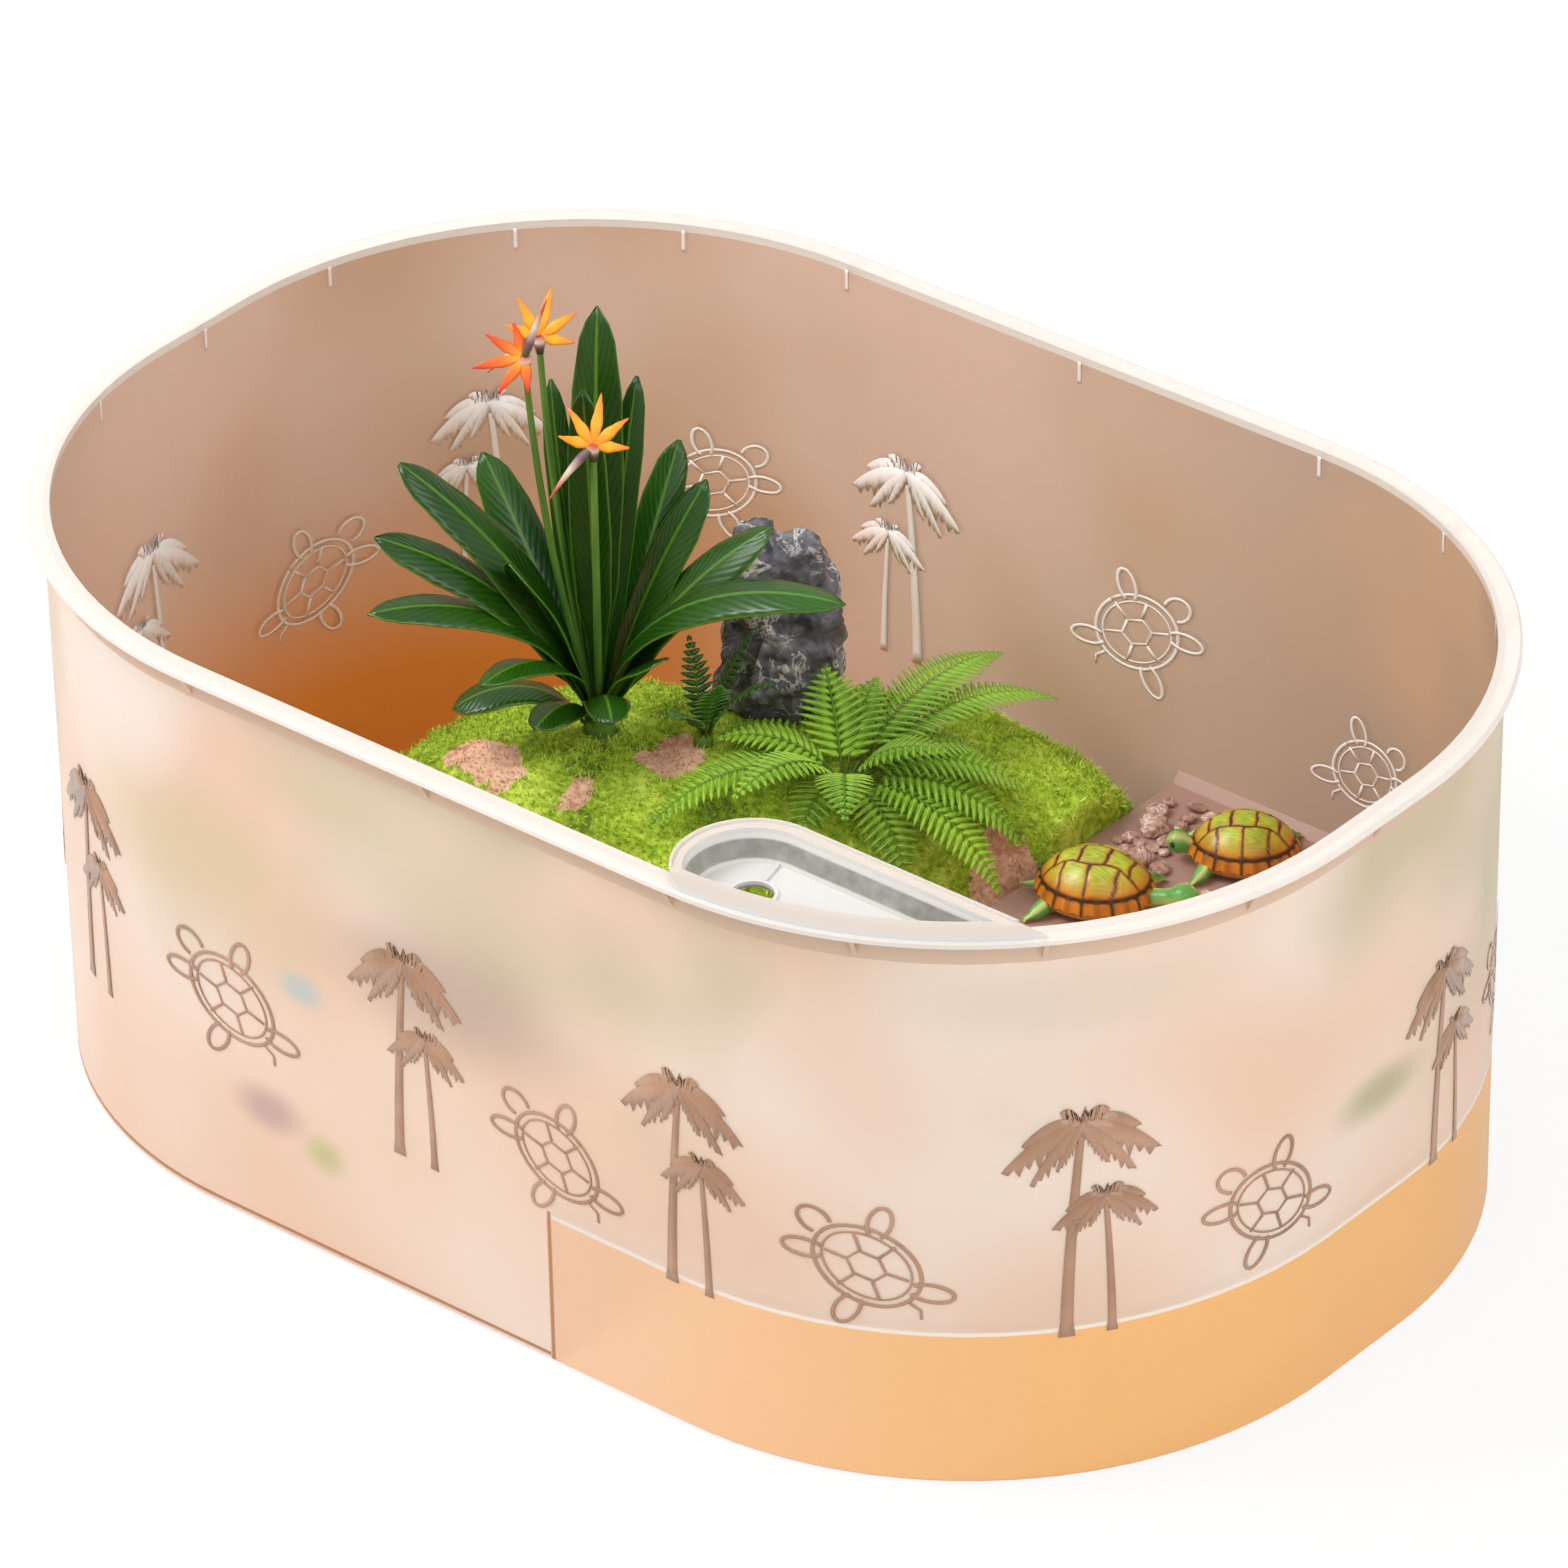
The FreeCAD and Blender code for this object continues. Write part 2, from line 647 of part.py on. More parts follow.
def main():
    os.makedirs("parts", exist_ok=True)
    export("tub", make_tub())
    export("basking_tray", make_tray())
    mound = make_mound()
    plant = standing_place(mound, plant_place)
    fern = standing_place(mound, fern_place)
    small_fern = standing_place(mound, small_fern_place)
    sockets = [socket(plant, peg_radius), socket(fern, fern_peg_radius), socket(small_fern, fern_peg_radius)]
    export("moss_island", mound.cut(sockets))
    export("standing_rock", make_rock(mound))
    export("broad_leaf_plant", make_broad_plant(plant))
    for index, flower in enumerate(flowers, 1):
        export("flower_" + str(index), make_flower(plant, *flower))
    export("fern", make_fern(fern, fern_fronds, fern_pinna_count))
    export("small_fern", make_fern(small_fern, small_fronds, small_fern_pinna_count))
    for node, *values in turtles:
        export(node, make_turtle(*values))
    export("pebbles", make_pebbles())


if __name__ == "__main__":
    main()
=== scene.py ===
# %% [markdown]
# A turtle tank, dressed for a photograph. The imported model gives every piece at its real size, in
# metres, with +X towards the raised land floor and +Z up. This file gives each piece its finish, and
# builds the soft and leafy ones again with the detail that a moulding tool would give them.

# %% Load the frame
import math
import random

import bmesh
import bpy
from mathutils import Matrix, Vector, noise


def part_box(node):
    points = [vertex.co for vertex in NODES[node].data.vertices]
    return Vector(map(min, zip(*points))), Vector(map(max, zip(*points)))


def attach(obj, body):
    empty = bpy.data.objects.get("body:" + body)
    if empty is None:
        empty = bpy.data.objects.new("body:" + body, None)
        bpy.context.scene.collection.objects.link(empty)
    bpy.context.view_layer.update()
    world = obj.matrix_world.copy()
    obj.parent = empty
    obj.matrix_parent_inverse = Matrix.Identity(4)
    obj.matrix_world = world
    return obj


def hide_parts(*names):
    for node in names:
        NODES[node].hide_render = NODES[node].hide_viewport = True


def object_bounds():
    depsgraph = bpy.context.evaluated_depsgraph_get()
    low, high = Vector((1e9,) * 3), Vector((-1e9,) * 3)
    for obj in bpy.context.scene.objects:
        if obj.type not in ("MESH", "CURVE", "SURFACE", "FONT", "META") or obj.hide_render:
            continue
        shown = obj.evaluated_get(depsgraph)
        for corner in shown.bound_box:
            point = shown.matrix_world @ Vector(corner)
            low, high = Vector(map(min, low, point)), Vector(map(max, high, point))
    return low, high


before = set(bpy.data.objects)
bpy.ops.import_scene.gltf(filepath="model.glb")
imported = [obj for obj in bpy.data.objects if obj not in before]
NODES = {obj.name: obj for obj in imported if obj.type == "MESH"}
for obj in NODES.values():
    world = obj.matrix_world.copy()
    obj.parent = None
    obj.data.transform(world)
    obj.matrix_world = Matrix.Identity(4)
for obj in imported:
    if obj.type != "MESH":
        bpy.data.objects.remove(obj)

CAD_BOX = [list(corner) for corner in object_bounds()]
MM = 0.001
print("nodes:", ", ".join(sorted(NODES)))

# %% [markdown]
# The camera stands a long way off with a long lens, so the tank's two long rims stay almost parallel.
# It is placed by an azimuth and a height angle round a point inside the tank. A small roll levels the
# picture as it is in the photograph. A wide lens close by would spread the front of the tub instead.

# %% Camera
TARGET = Vector((-11.67, 20.47, 91.0)) * MM
AZIMUTH = math.radians(40.10)
ELEVATION = math.radians(32.25)
ROLL = math.radians(-0.944)
DISTANCE = 3.1529
FOCAL = 251.07


def add_camera():
    """Camera on a ray from the target, looking back along it."""
    back = Vector((math.sin(AZIMUTH) * math.cos(ELEVATION), -math.cos(AZIMUTH) * math.cos(ELEVATION),
                   math.sin(ELEVATION)))
    right = Vector((math.cos(AZIMUTH), math.sin(AZIMUTH), 0))
    up = back.cross(right)
    level_right = right * math.cos(ROLL) + up * math.sin(ROLL)
    level_up = up * math.cos(ROLL) - right * math.sin(ROLL)
    data = bpy.data.cameras.new("camera")
    data.lens = FOCAL
    data.sensor_width = 36
    camera = bpy.data.objects.new("camera", data)
    bpy.context.scene.collection.objects.link(camera)
    turn = Matrix((level_right, level_up, back)).transposed().to_4x4()
    camera.matrix_world = Matrix.Translation(TARGET + back * DISTANCE) @ turn
    bpy.context.scene.camera = camera
    return camera


print("camera at", [round(value, 3) for value in add_camera().matrix_world.translation])

# %% [markdown]
# A material here is a Principled shader with a few nodes in front of it. A small helper makes one and
# sets plain numbers straight on the shader's sockets, which keeps them readable in any other program.

# %% Material helpers


def new_material(name, **sockets):
    """Material with one Principled shader, and that shader."""
    material = bpy.data.materials.new(name)
    material.use_nodes = True
    shader = material.node_tree.nodes["Principled BSDF"]
    for socket, value in sockets.items():
        shader.inputs[socket.replace("_", " ")].default_value = value
    return material, shader


def add_node(owner, kind, **values):
    """Shader node of a material or a node group, with its plain properties and its sockets' values."""
    node = getattr(owner, "node_tree", owner).nodes.new("ShaderNode" + kind)
    for key, value in values.items():
        socket = key.replace("_", " ")
        if socket in node.inputs:
            node.inputs[socket].default_value = value
        else:
            setattr(node, key, value)
    return node


def link(owner, output, target):
    """Joins two sockets."""
    getattr(owner, "node_tree", owner).links.new(output, target)


def fill(owner, node, values):
    """Gives a node's first sockets their values, each a constant or another node's output."""
    for socket, value in zip(node.inputs, values):
        if isinstance(value, bpy.types.NodeSocket):
            link(owner, value, socket)
        else:
            socket.default_value = value


def calc(owner, operation, *values):
    """Result of a sum over numbers and sockets."""
    node = add_node(owner, "Math", operation=operation)
    fill(owner, node, values)
    return node.outputs[0]


def vector_calc(material, operation, *values):
    """Result of a sum over vectors, which is a number for a length or a dot product."""
    node = add_node(material, "VectorMath", operation=operation)
    fill(material, node, values)
    return node.outputs["Value" if operation in ("LENGTH", "DOT_PRODUCT") else "Vector"]


def split(material, vector):
    """The three parts of a vector."""
    node = add_node(material, "SeparateXYZ")
    link(material, vector, node.inputs[0])
    return node.outputs


def object_place(material):
    """A point's place in the piece's own space."""
    return add_node(material, "TexCoord").outputs["Object"]


def sheet_place(material):
    """A point's places across and along its own strip, from the mesh."""
    return split(material, add_node(material, "UVMap", uv_map="place").outputs[0])[:2]


def noise_texture(material, place, **values):
    """Value of a noise texture at a place."""
    texture = add_node(material, "TexNoise", **values)
    link(material, place, texture.inputs["Vector"])
    return texture.outputs["Fac"]


def ramp(material, factor, stops):
    """Colour ramp over a factor. Each stop is a place and a colour."""
    node = add_node(material, "ValToRGB")
    elements = node.color_ramp.elements
    while len(elements) < len(stops):
        elements.new(0.5)
    for element, (place, colour) in zip(elements, stops):
        element.position = place
        element.color = (*colour, 1)
    link(material, factor, node.inputs["Fac"])
    return node.outputs["Color"]


def blend_colour(material, factor, low, high):
    """Mix of two colours, each a tuple or a socket."""
    node = add_node(material, "Mix", data_type="RGBA")
    link(material, factor, node.inputs[0])
    for index, colour in ((6, low), (7, high)):
        if isinstance(colour, tuple):
            node.inputs[index].default_value = (*colour, 1)
        else:
            link(material, colour, node.inputs[index])
    return node.outputs[2]


def srgb(red, green, blue):
    """Colour as picked on a screen, 0 to 255, as the linear one that shaders use."""
    def linear(value):
        value /= 255
        return value / 12.92 if value <= 0.04045 else ((value + 0.055) / 1.055) ** 2.4
    return (linear(red), linear(green), linear(blue))


def finish_node(node, material):
    """Gives every slot of a carried-over node one material."""
    mesh = NODES[node].data
    mesh.materials.clear()
    mesh.materials.append(material)
    return NODES[node]


# %% [markdown]
# One effect turns up in most of the pieces: a surface broken up by fine noise, in colour and in height.
# It is a node group, so each material can place it with its own scale. It gives out a mask, a second
# coarser mask, and a height, and never a shader.

# %% Mottle group


def mottle_group():
    """Node group with a fine mask, a coarse mask and their joint height."""
    group = bpy.data.node_groups.new("mottle", "ShaderNodeTree")
    group.interface.new_socket("Scale", in_out="INPUT", socket_type="NodeSocketFloat")
    group.interface.new_socket("Coarse share", in_out="INPUT", socket_type="NodeSocketFloat")
    for name in ("Fine", "Coarse", "Height"):
        group.interface.new_socket(name, in_out="OUTPUT", socket_type="NodeSocketFloat")
    source = group.nodes.new("NodeGroupInput")
    result = group.nodes.new("NodeGroupOutput")
    scale, share = source.outputs["Scale"], source.outputs["Coarse share"]
    masks = []
    for name, detail, size in (("Fine", 4, scale), ("Coarse", 2, calc(group, "MULTIPLY", scale, share))):
        masks.append(noise_texture(group, object_place(group), Detail=detail))
        link(group, size, masks[-1].node.inputs["Scale"])
        link(group, masks[-1], result.inputs[name])
    link(group, calc(group, "ADD", *masks), result.inputs["Height"])
    return group


MOTTLE = mottle_group()


def mottle(material, scale, coarse_share=0.15):
    """Places the mottle group in a material."""
    return add_node(material, "Group", node_tree=MOTTLE, Scale=scale, Coarse_share=coarse_share)


def bump(material, shader, height, distance, strength=1.0):
    """Feeds a height to the shader's normal, in metres of depth."""
    node = add_node(material, "Bump", Distance=distance, Strength=strength)
    link(material, height, node.inputs["Height"])
    link(material, node.outputs["Normal"], shader.inputs["Normal"])


print("mottle group:", len(MOTTLE.nodes), "nodes")

# %% [markdown]
# The stage is a wide white floor. For the camera, and for what shows in plastic, part of it shines at
# strength 1, which is plain white, so the background is white without more light on the tank. The rest
# of it is a lit surface, which keeps the tank's soft shadow.

# %% Floor
FLOOR_SIZE = 6.0
FLOOR_GLOW = 0.86
FLOOR_GREY = (0.86, 0.86, 0.86)
FLOOR_GAP = 0.0002


def add_floor():
    """Large white plane just under the tub."""
    bpy.ops.mesh.primitive_plane_add(size=FLOOR_SIZE, location=(0, 0, CAD_BOX[0][2] - FLOOR_GAP))
    floor = bpy.context.object
    floor.name = "floor"
    material, shader = new_material("white_floor", Base_Color=(*FLOOR_GREY, 1), Roughness=0.9)
    rays = add_node(material, "LightPath").outputs
    seen = calc(material, "MAXIMUM", rays["Is Camera Ray"], rays["Is Glossy Ray"])
    seen = calc(material, "MAXIMUM", seen, rays["Is Transmission Ray"])
    mix = add_node(material, "MixShader")
    fill(material, mix, (calc(material, "MULTIPLY", seen, FLOOR_GLOW), shader.outputs[0],
                         add_node(material, "Emission", Strength=1.0).outputs[0]))
    link(material, mix.outputs[0], material.node_tree.nodes["Material Output"].inputs["Surface"])
    floor.data.materials.append(material)
    return floor


print("floor at", round(add_floor().location.z, 4))

# %% [markdown]
# The light is a bright even sky with one large soft lamp from the upper left and a weak one from the
# right. Soft light suits frosted plastic, because it shows the wall's glow and no hard glints.

# %% Lights
KEY_POWER = 26
FILL_POWER = 9.8
SKY_STRENGTH = 0.75


def add_lamp(name, place, size, power):
    """Square area lamp aimed at the tank."""
    data = bpy.data.lights.new(name, "AREA")
    data.energy = power
    data.size = size
    lamp = bpy.data.objects.new(name, data)
    bpy.context.scene.collection.objects.link(lamp)
    lamp.location = place
    lamp.rotation_euler = (Vector(place) - TARGET).to_track_quat("Z", "Y").to_euler()
    return lamp


def add_light():
    """Sky and two lamps."""
    scene = bpy.context.scene
    scene.view_settings.view_transform = "Standard"
    world = bpy.data.worlds.new("sky")
    scene.world = world
    world.use_nodes = True
    sky = world.node_tree.nodes["Background"]
    sky.inputs["Color"].default_value = (1, 1, 1, 1)
    sky.inputs["Strength"].default_value = SKY_STRENGTH
    add_lamp("key", (-0.9, -0.9, 1.7), 0.9, KEY_POWER)
    add_lamp("fill", (1.5, -0.3, 1.0), 1.2, FILL_POWER)


add_light()

# %% [markdown]
# The tub is frosted polypropylene about 2 mm thick. Light soaks through it, so the near wall glows and
# the things behind it blur into soft patches. Rough transmission gives that blur for real, and the
# plainest patches are painted on the outer wall as well, with a painted highlight. The tint is worked
# out from where a point is on the tub and which way its surface faces: the outside is a pale peach,
# the inside is a darker tan as painted shade, and the open skirt under the land floor is orange. The
# rim top and a line at the land floor are painted highlights, and the band under the rim is painted
# shade. A film of paint over the outside would look flat instead.

# %% Tub colours
LAND_FLOOR = 0.052
STEP_X = 0.038
UNDER_RIM = 0.1722
RIM_LOW = 0.1798
LINE_REACH = 0.0009
OUTSIDE_PALE = srgb(255, 238, 222)
OUTSIDE_WARM = srgb(250, 218, 192)
OUTSIDE_GREY = srgb(222, 208, 176)
INSIDE_HIGH = srgb(242, 210, 190)
INSIDE_SHADE = srgb(196, 172, 150)
INSIDE_LOW = srgb(250, 168, 74)
INSIDE_CLOUD = srgb(226, 190, 160)
POOL_TINT = srgb(240, 202, 184)
UNDER_RIM_SHADE = srgb(232, 204, 180)
SKIRT_NEAR = srgb(255, 214, 180)
SKIRT_END = srgb(255, 199, 130)
LAND_SHADE = srgb(204, 166, 150)
SEAM_LINE = srgb(196, 140, 104)
EDGE_HIGHLIGHT = srgb(255, 248, 240)
FROST = 0.35

# %% Masks


def above(material, value, threshold):
    """1 where a value is over a threshold."""
    return calc(material, "GREATER_THAN", value, threshold)


def below(material, value, threshold):
    """1 where a value is under a threshold."""
    return calc(material, "LESS_THAN", value, threshold)


def both(material, first, second):
    """Where two masks overlap."""
    return calc(material, "MULTIPLY", first, second)


def stretch(material, value, low, high):
    """A value's run from low to high, as 0 to 1."""
    node = add_node(material, "MapRange", From_Min=low, From_Max=high)
    link(material, value, node.inputs["Value"])
    return node.outputs["Result"]


def near_value(material, value, place, reach):
    """1 at a value, falling to 0 a short way off."""
    away = calc(material, "ABSOLUTE", calc(material, "SUBTRACT", value, place))
    return stretch(material, away, reach, reach * 0.5)


def inward_mask(material, point, normal):
    """1 on faces that look towards the tub's middle, 0 on the outside."""
    flat = vector_calc(material, "MULTIPLY", point, (1, 2, 0))
    return below(material, vector_calc(material, "DOT_PRODUCT", flat, normal), -0.01)


def cloud(material, scale, low, high, seed):
    """Large soft clouds, 0 to 1."""
    place = vector_calc(material, "ADD", object_place(material), (seed, seed * 0.7, seed * 1.3))
    return stretch(material, noise_texture(material, place, Scale=scale, Detail=1), low, high)


# %% Soft patches
# Patches painted on the outer wall for the blurred view of the contents through it; the near-white one high
# on the front is a painted highlight. Middle, reach along each axis, colour and strength. Millimetres.
PAINTED_LIGHT_PATCHES = (
    ((-88, -145, 120), (62, 40, 34), (232, 216, 178), 0.75),
    ((-36, -145, 156), (44, 40, 16), (226, 214, 178), 0.6),
    ((5, -145, 110), (66, 50, 30), (206, 184, 168), 0.75),
    ((-51, -145, 89), (12, 20, 8), (196, 216, 216), 0.8),
    ((-66, -144, 42), (18, 20, 11), (206, 178, 172), 0.8),
    ((-45, -144, 35), (11, 20, 9), (206, 208, 150), 0.8),
    ((185, -98, 158), (72, 60, 16), (230, 216, 192), 0.4),
    ((215, 5, 87), (20, 26, 11), (190, 188, 144), 0.8),
    ((-119, -141, 160), (44, 60, 34), (255, 244, 234), 0.8),
    ((-206, -60, 100), (34, 60, 60), (246, 200, 164), 0.7),
)


def painted_light_patch(material, place, middle, reach, colour, tint, strength):
    """Lays one blurred painted patch of light over a colour."""
    scaled = vector_calc(material, "MULTIPLY_ADD", place, [1 / (value * MM) for value in reach],
                         [-spot / value for spot, value in zip(middle, reach)])
    mask = add_node(material, "MapRange", interpolation_type="SMOOTHSTEP", From_Min=1.0, From_Max=0.15,
                    To_Max=strength)
    link(material, vector_calc(material, "LENGTH", scaled), mask.inputs["Value"])
    return blend_colour(material, mask.outputs["Result"], colour, srgb(*tint))

# %% Tub material


def outside_colour(material, place, x, z):
    """Pale peach with soft clouds, painted see-through patches and highlights, painted shade under the rim,
    and orange on the skirt.
    """
    colour = blend_colour(material, cloud(material, 9, 0.42, 0.62, 1.0), OUTSIDE_PALE, OUTSIDE_WARM)
    high = both(material, cloud(material, 13, 0.5, 0.7, 4.0), stretch(material, z, 0.06, 0.12))
    colour = blend_colour(material, high, colour, OUTSIDE_GREY)
    # Painted light: the blurred view of the contents through the wall, and one painted highlight.
    for middle, reach, tint, strength in PAINTED_LIGHT_PATCHES:
        colour = painted_light_patch(material, place, middle, reach, colour, tint, strength)
    # Painted shade: the band of wall under the rim's flange is darkened as the flange's shadow.
    shade = both(material, above(material, z, UNDER_RIM), below(material, z, RIM_LOW))
    colour = blend_colour(material, shade, colour, UNDER_RIM_SHADE)
    at_land = above(material, x, STEP_X)
    skirt = blend_colour(material, stretch(material, x, STEP_X, 0.19), SKIRT_NEAR, SKIRT_END)
    low = both(material, below(material, z, LAND_FLOOR - 0.002), at_land)
    colour = blend_colour(material, low, colour, skirt)
    # Painted highlight: a white line where the land floor meets the outer wall.
    at_floor = both(material, near_value(material, z, LAND_FLOOR - 0.0015, LINE_REACH), at_land)
    at_step = near_value(material, x, STEP_X + 0.001, LINE_REACH)
    at_step = both(material, at_step, below(material, z, LAND_FLOOR))
    at_foot = both(material, near_value(material, z, 0.003, 0.0008), below(material, x, STEP_X))
    for mask, tint in ((at_floor, EDGE_HIGHLIGHT), (at_step, SEAM_LINE), (at_foot, SEAM_LINE)):
        colour = blend_colour(material, mask, colour, tint)
    return colour


def inside_colour(material, x, z):
    """Tan as painted shade, darker towards the land end as more painted shade, and orange-brown low down at
    the pool end.
    """
    # Painted shade: the inside faces are a darker tan than the outside, darker still towards the land end.
    colour = blend_colour(material, stretch(material, x, -0.03, 0.15), INSIDE_HIGH, INSIDE_SHADE)
    colour = blend_colour(material, cloud(material, 11, 0.44, 0.66, 7.0), colour, INSIDE_CLOUD)
    low = both(material, stretch(material, z, 0.1, 0.035), stretch(material, x, -0.09, -0.16))
    return blend_colour(material, low, colour, INSIDE_LOW)


def tub_material():
    """Frosted plastic, tinted by place, with painted highlights and painted shade."""
    material, shader = new_material("frosted_polypropylene", Roughness=0.4, IOR=1.3,
                                    Transmission_Weight=FROST)
    place = object_place(material)
    x, _, z = split(material, place)
    normal = add_node(material, "NewGeometry").outputs["True Normal"]
    up = split(material, normal)[2]
    inward = inward_mask(material, place, normal)
    colour = blend_colour(material, inward, outside_colour(material, place, x, z),
                          inside_colour(material, x, z))
    floors = both(material, above(material, up, 0.5), below(material, z, LAND_FLOOR + 0.004))
    floor_tint = blend_colour(material, stretch(material, x, 0.0, -0.15), POOL_TINT, INSIDE_LOW)
    # Painted shade: the land floor is darker, for the shade among the pebbles and turtles.
    floor_tint = blend_colour(material, above(material, z, LAND_FLOOR - 0.004), floor_tint, LAND_SHADE)
    colour = blend_colour(material, floors, colour, floor_tint)
    # Painted highlight: the top faces of the rim are whiter.
    top = both(material, above(material, z, RIM_LOW - 0.0003), above(material, up, -0.5))
    colour = blend_colour(material, top, colour, EDGE_HIGHLIGHT)
    link(material, colour, shader.inputs["Base Color"])
    bump(material, shader, noise_texture(material, place, Scale=900, Detail=0), 0.00004)
    return material


finish_node("tub", tub_material())

# %% [markdown]
# The tray is the same plastic without the frosting. It is so thin that it reads as grey glass with
# white edges, so it gets a milky clear material with painted grey shade for the dark seen through it,
# and painted highlights on its lip, ribs, ring and edges.

# %% Tray material
TRAY_CLEAR = srgb(212, 210, 204)
TRAY_TOP_HIGHLIGHT = srgb(246, 232, 220)
TRAY_HIGHLIGHT = srgb(255, 253, 250)
TRAY_SEEN_SHADE = srgb(160, 162, 156)
TRAY_WALLS = (srgb(146, 146, 140), srgb(206, 202, 196))
TRAY_BOTTOM = 0.1725
TRAY_FLOOR = TRAY_BOTTOM + 0.0013
TRAY_LIP = TRAY_BOTTOM + 0.0088
DRAIN = (0.102, -0.1285)
DRAIN_RADIUS = 0.006


def tray_material():
    """Milky clear plastic with painted grey shade, and painted highlights on its edges and on a ring round
    the drain.
    """
    material, shader = new_material("milky_tray", Roughness=0.16, IOR=1.4, Transmission_Weight=0.35)
    surface = add_node(material, "NewGeometry").outputs
    z = split(material, surface["Position"])[2]
    facing_up = above(material, split(material, surface["True Normal"])[2], 0.5)
    grain = mottle(material, 260, 0.2).outputs["Height"]
    uneven = stretch(material, grain, 0.6, 1.4)
    # Painted shade: grey on the floor and walls for the dark seen through the thin plastic.
    colour = blend_colour(material, facing_up, blend_colour(material, uneven, *TRAY_WALLS),
                          blend_colour(material, uneven, TRAY_SEEN_SHADE, TRAY_CLEAR))
    from_drain = vector_calc(material, "SUBTRACT", surface["Position"], (*DRAIN, 0))
    from_drain = vector_calc(material, "LENGTH", vector_calc(material, "MULTIPLY", from_drain, (1, 1, 0)))
    ring = near_value(material, from_drain, DRAIN_RADIUS + 0.0012, 0.0008)
    # Painted highlights: white on the upward edges, the lip, the drain ring and two lines round the tray.
    for mask, tint in ((both(material, facing_up, above(material, z, TRAY_FLOOR)), TRAY_HIGHLIGHT),
                       (above(material, z, TRAY_LIP - 0.0003), TRAY_HIGHLIGHT),
                       (both(material, facing_up, above(material, z, TRAY_LIP + 0.0002)), TRAY_TOP_HIGHLIGHT),
                       (both(material, ring, facing_up), TRAY_HIGHLIGHT),
                       (near_value(material, z, TRAY_FLOOR + 0.0004, 0.0011), TRAY_HIGHLIGHT),
                       (near_value(material, z, TRAY_LIP, 0.0012), TRAY_HIGHLIGHT)):
        colour = blend_colour(material, mask, colour, tint)
    link(material, colour, shader.inputs["Base Color"])
    bump(material, shader, grain, 0.00003)
    return material


finish_node("basking_tray", tray_material())

# %% [markdown]
# The landscape is built again from meshes, because a moulding tool, a fern and a mossy stone all have
# more detail than flat solids. One helper gathers the forms of a piece and another turns them into an
# object that rides on the tank and hides the nodes it stands in for.

# %% Mesh helpers


class Pile:
    """Vertices, faces, texture places and material numbers of one piece."""

    def __init__(self):
        self.vertices = []
        self.faces = []
        self.uvs = []
        self.slots = []

    def skin(self, rows, closed=False, slot=0, uvs=None):
        """Quads over rows of points. A closed skin joins each row's end to its start."""
        base = len(self.vertices)
        across = len(rows[0])
        for index, row in enumerate(rows):
            for column, point in enumerate(row):
                self.vertices.append(tuple(point))
                along = index / (len(rows) - 1)
                self.uvs.append(uvs[index][column] if uvs else (column / max(across - 1, 1), along))
        span = across if closed else across - 1
        for index in range(len(rows) - 1):
            for column in range(span):
                after = (column + 1) % across
                low = base + index * across
                high = low + across
                self.faces.append((low + column, low + after, high + after, high + column))
                self.slots.append(slot)

    def tube(self, points, radii, sides=8, slot=0, flatten=1.0):
        """Round skin along points, with a radius at each."""
        rows = []
        for index, point in enumerate(points):
            ahead = points[min(index + 1, len(points) - 1)] - points[max(index - 1, 0)]
            turn = ahead.to_track_quat("Z", "Y").to_matrix()
            ring = []
            for side in range(sides):
                angle = 2 * math.pi * side / sides
                offset = Vector((math.cos(angle), flatten * math.sin(angle), 0)) * radii[index]
                ring.append(point + turn @ offset)
            rows.append(ring)
        self.skin(rows, closed=True, slot=slot)

    def make(self, name, slot, *materials, replaced=(), smooth=True):
        """Turns the pile into an object of the scene."""
        mesh = bpy.data.meshes.new(name)
        mesh.from_pydata(self.vertices, [], self.faces)
        layer = mesh.uv_layers.new(name="place")
        for loop in mesh.loops:
            layer.data[loop.index].uv = self.uvs[loop.vertex_index]
        for material in materials:
            mesh.materials.append(material)
        mesh.polygons.foreach_set("material_index", self.slots)
        mesh.polygons.foreach_set("use_smooth", [smooth] * len(self.faces))
        return join_scene(name, mesh, replaced)


def join_scene(name, mesh, replaced=()):
    """Object for a mesh, riding on the tank and standing for its nodes."""
    piece = bpy.data.objects.new(name, mesh)
    bpy.context.scene.collection.objects.link(piece)
    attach(piece, "root")
    if replaced:
        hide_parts(*replaced)
    print(name, len(mesh.polygons), "faces")
    return piece


def thicken(piece, thickness, offset=-1.0):
    """Gives a sheet its thickness."""
    modifier = piece.modifiers.new("thickness", "SOLIDIFY")
    modifier.thickness = thickness
    modifier.offset = offset


def aim(direction, rise, roll=0.0):
    """Turn that points local +X along a direction in plan and a rise, in degrees."""
    return (Matrix.Rotation(math.radians(direction), 3, "Z") @ Matrix.Rotation(math.radians(-rise), 3, "Y")
            @ Matrix.Rotation(math.radians(roll), 3, "X"))


def polar(radius, degrees):
    """Point of the XY plane at a radius and direction."""
    return Vector((math.cos(math.radians(degrees)), math.sin(math.radians(degrees)), 0)) * radius


def bow(length, arch, share):
    """Point and upward normal on an arc over a chord along +X."""
    sag = arch * length
    radius = (length ** 2 / 4 + sag ** 2) / (2 * sag)
    half_turn = math.asin(length / 2 / radius)
    angle = half_turn * (2 * share - 1)
    rise = radius * (math.cos(angle) - math.cos(half_turn))
    point = Vector((length / 2 + radius * math.sin(angle), 0, rise))
    return point, Vector((math.sin(angle), 0, math.cos(angle)))


def table_value(table, share):
    """Smooth value between the rows of a table of places and values."""
    for (low, first), (high, last) in zip(table, table[1:]):
        if share <= high:
            step = (share - low) / (high - low)
            step = step * step * (3 - 2 * step)
            return first + (last - first) * step
    return table[-1][1]


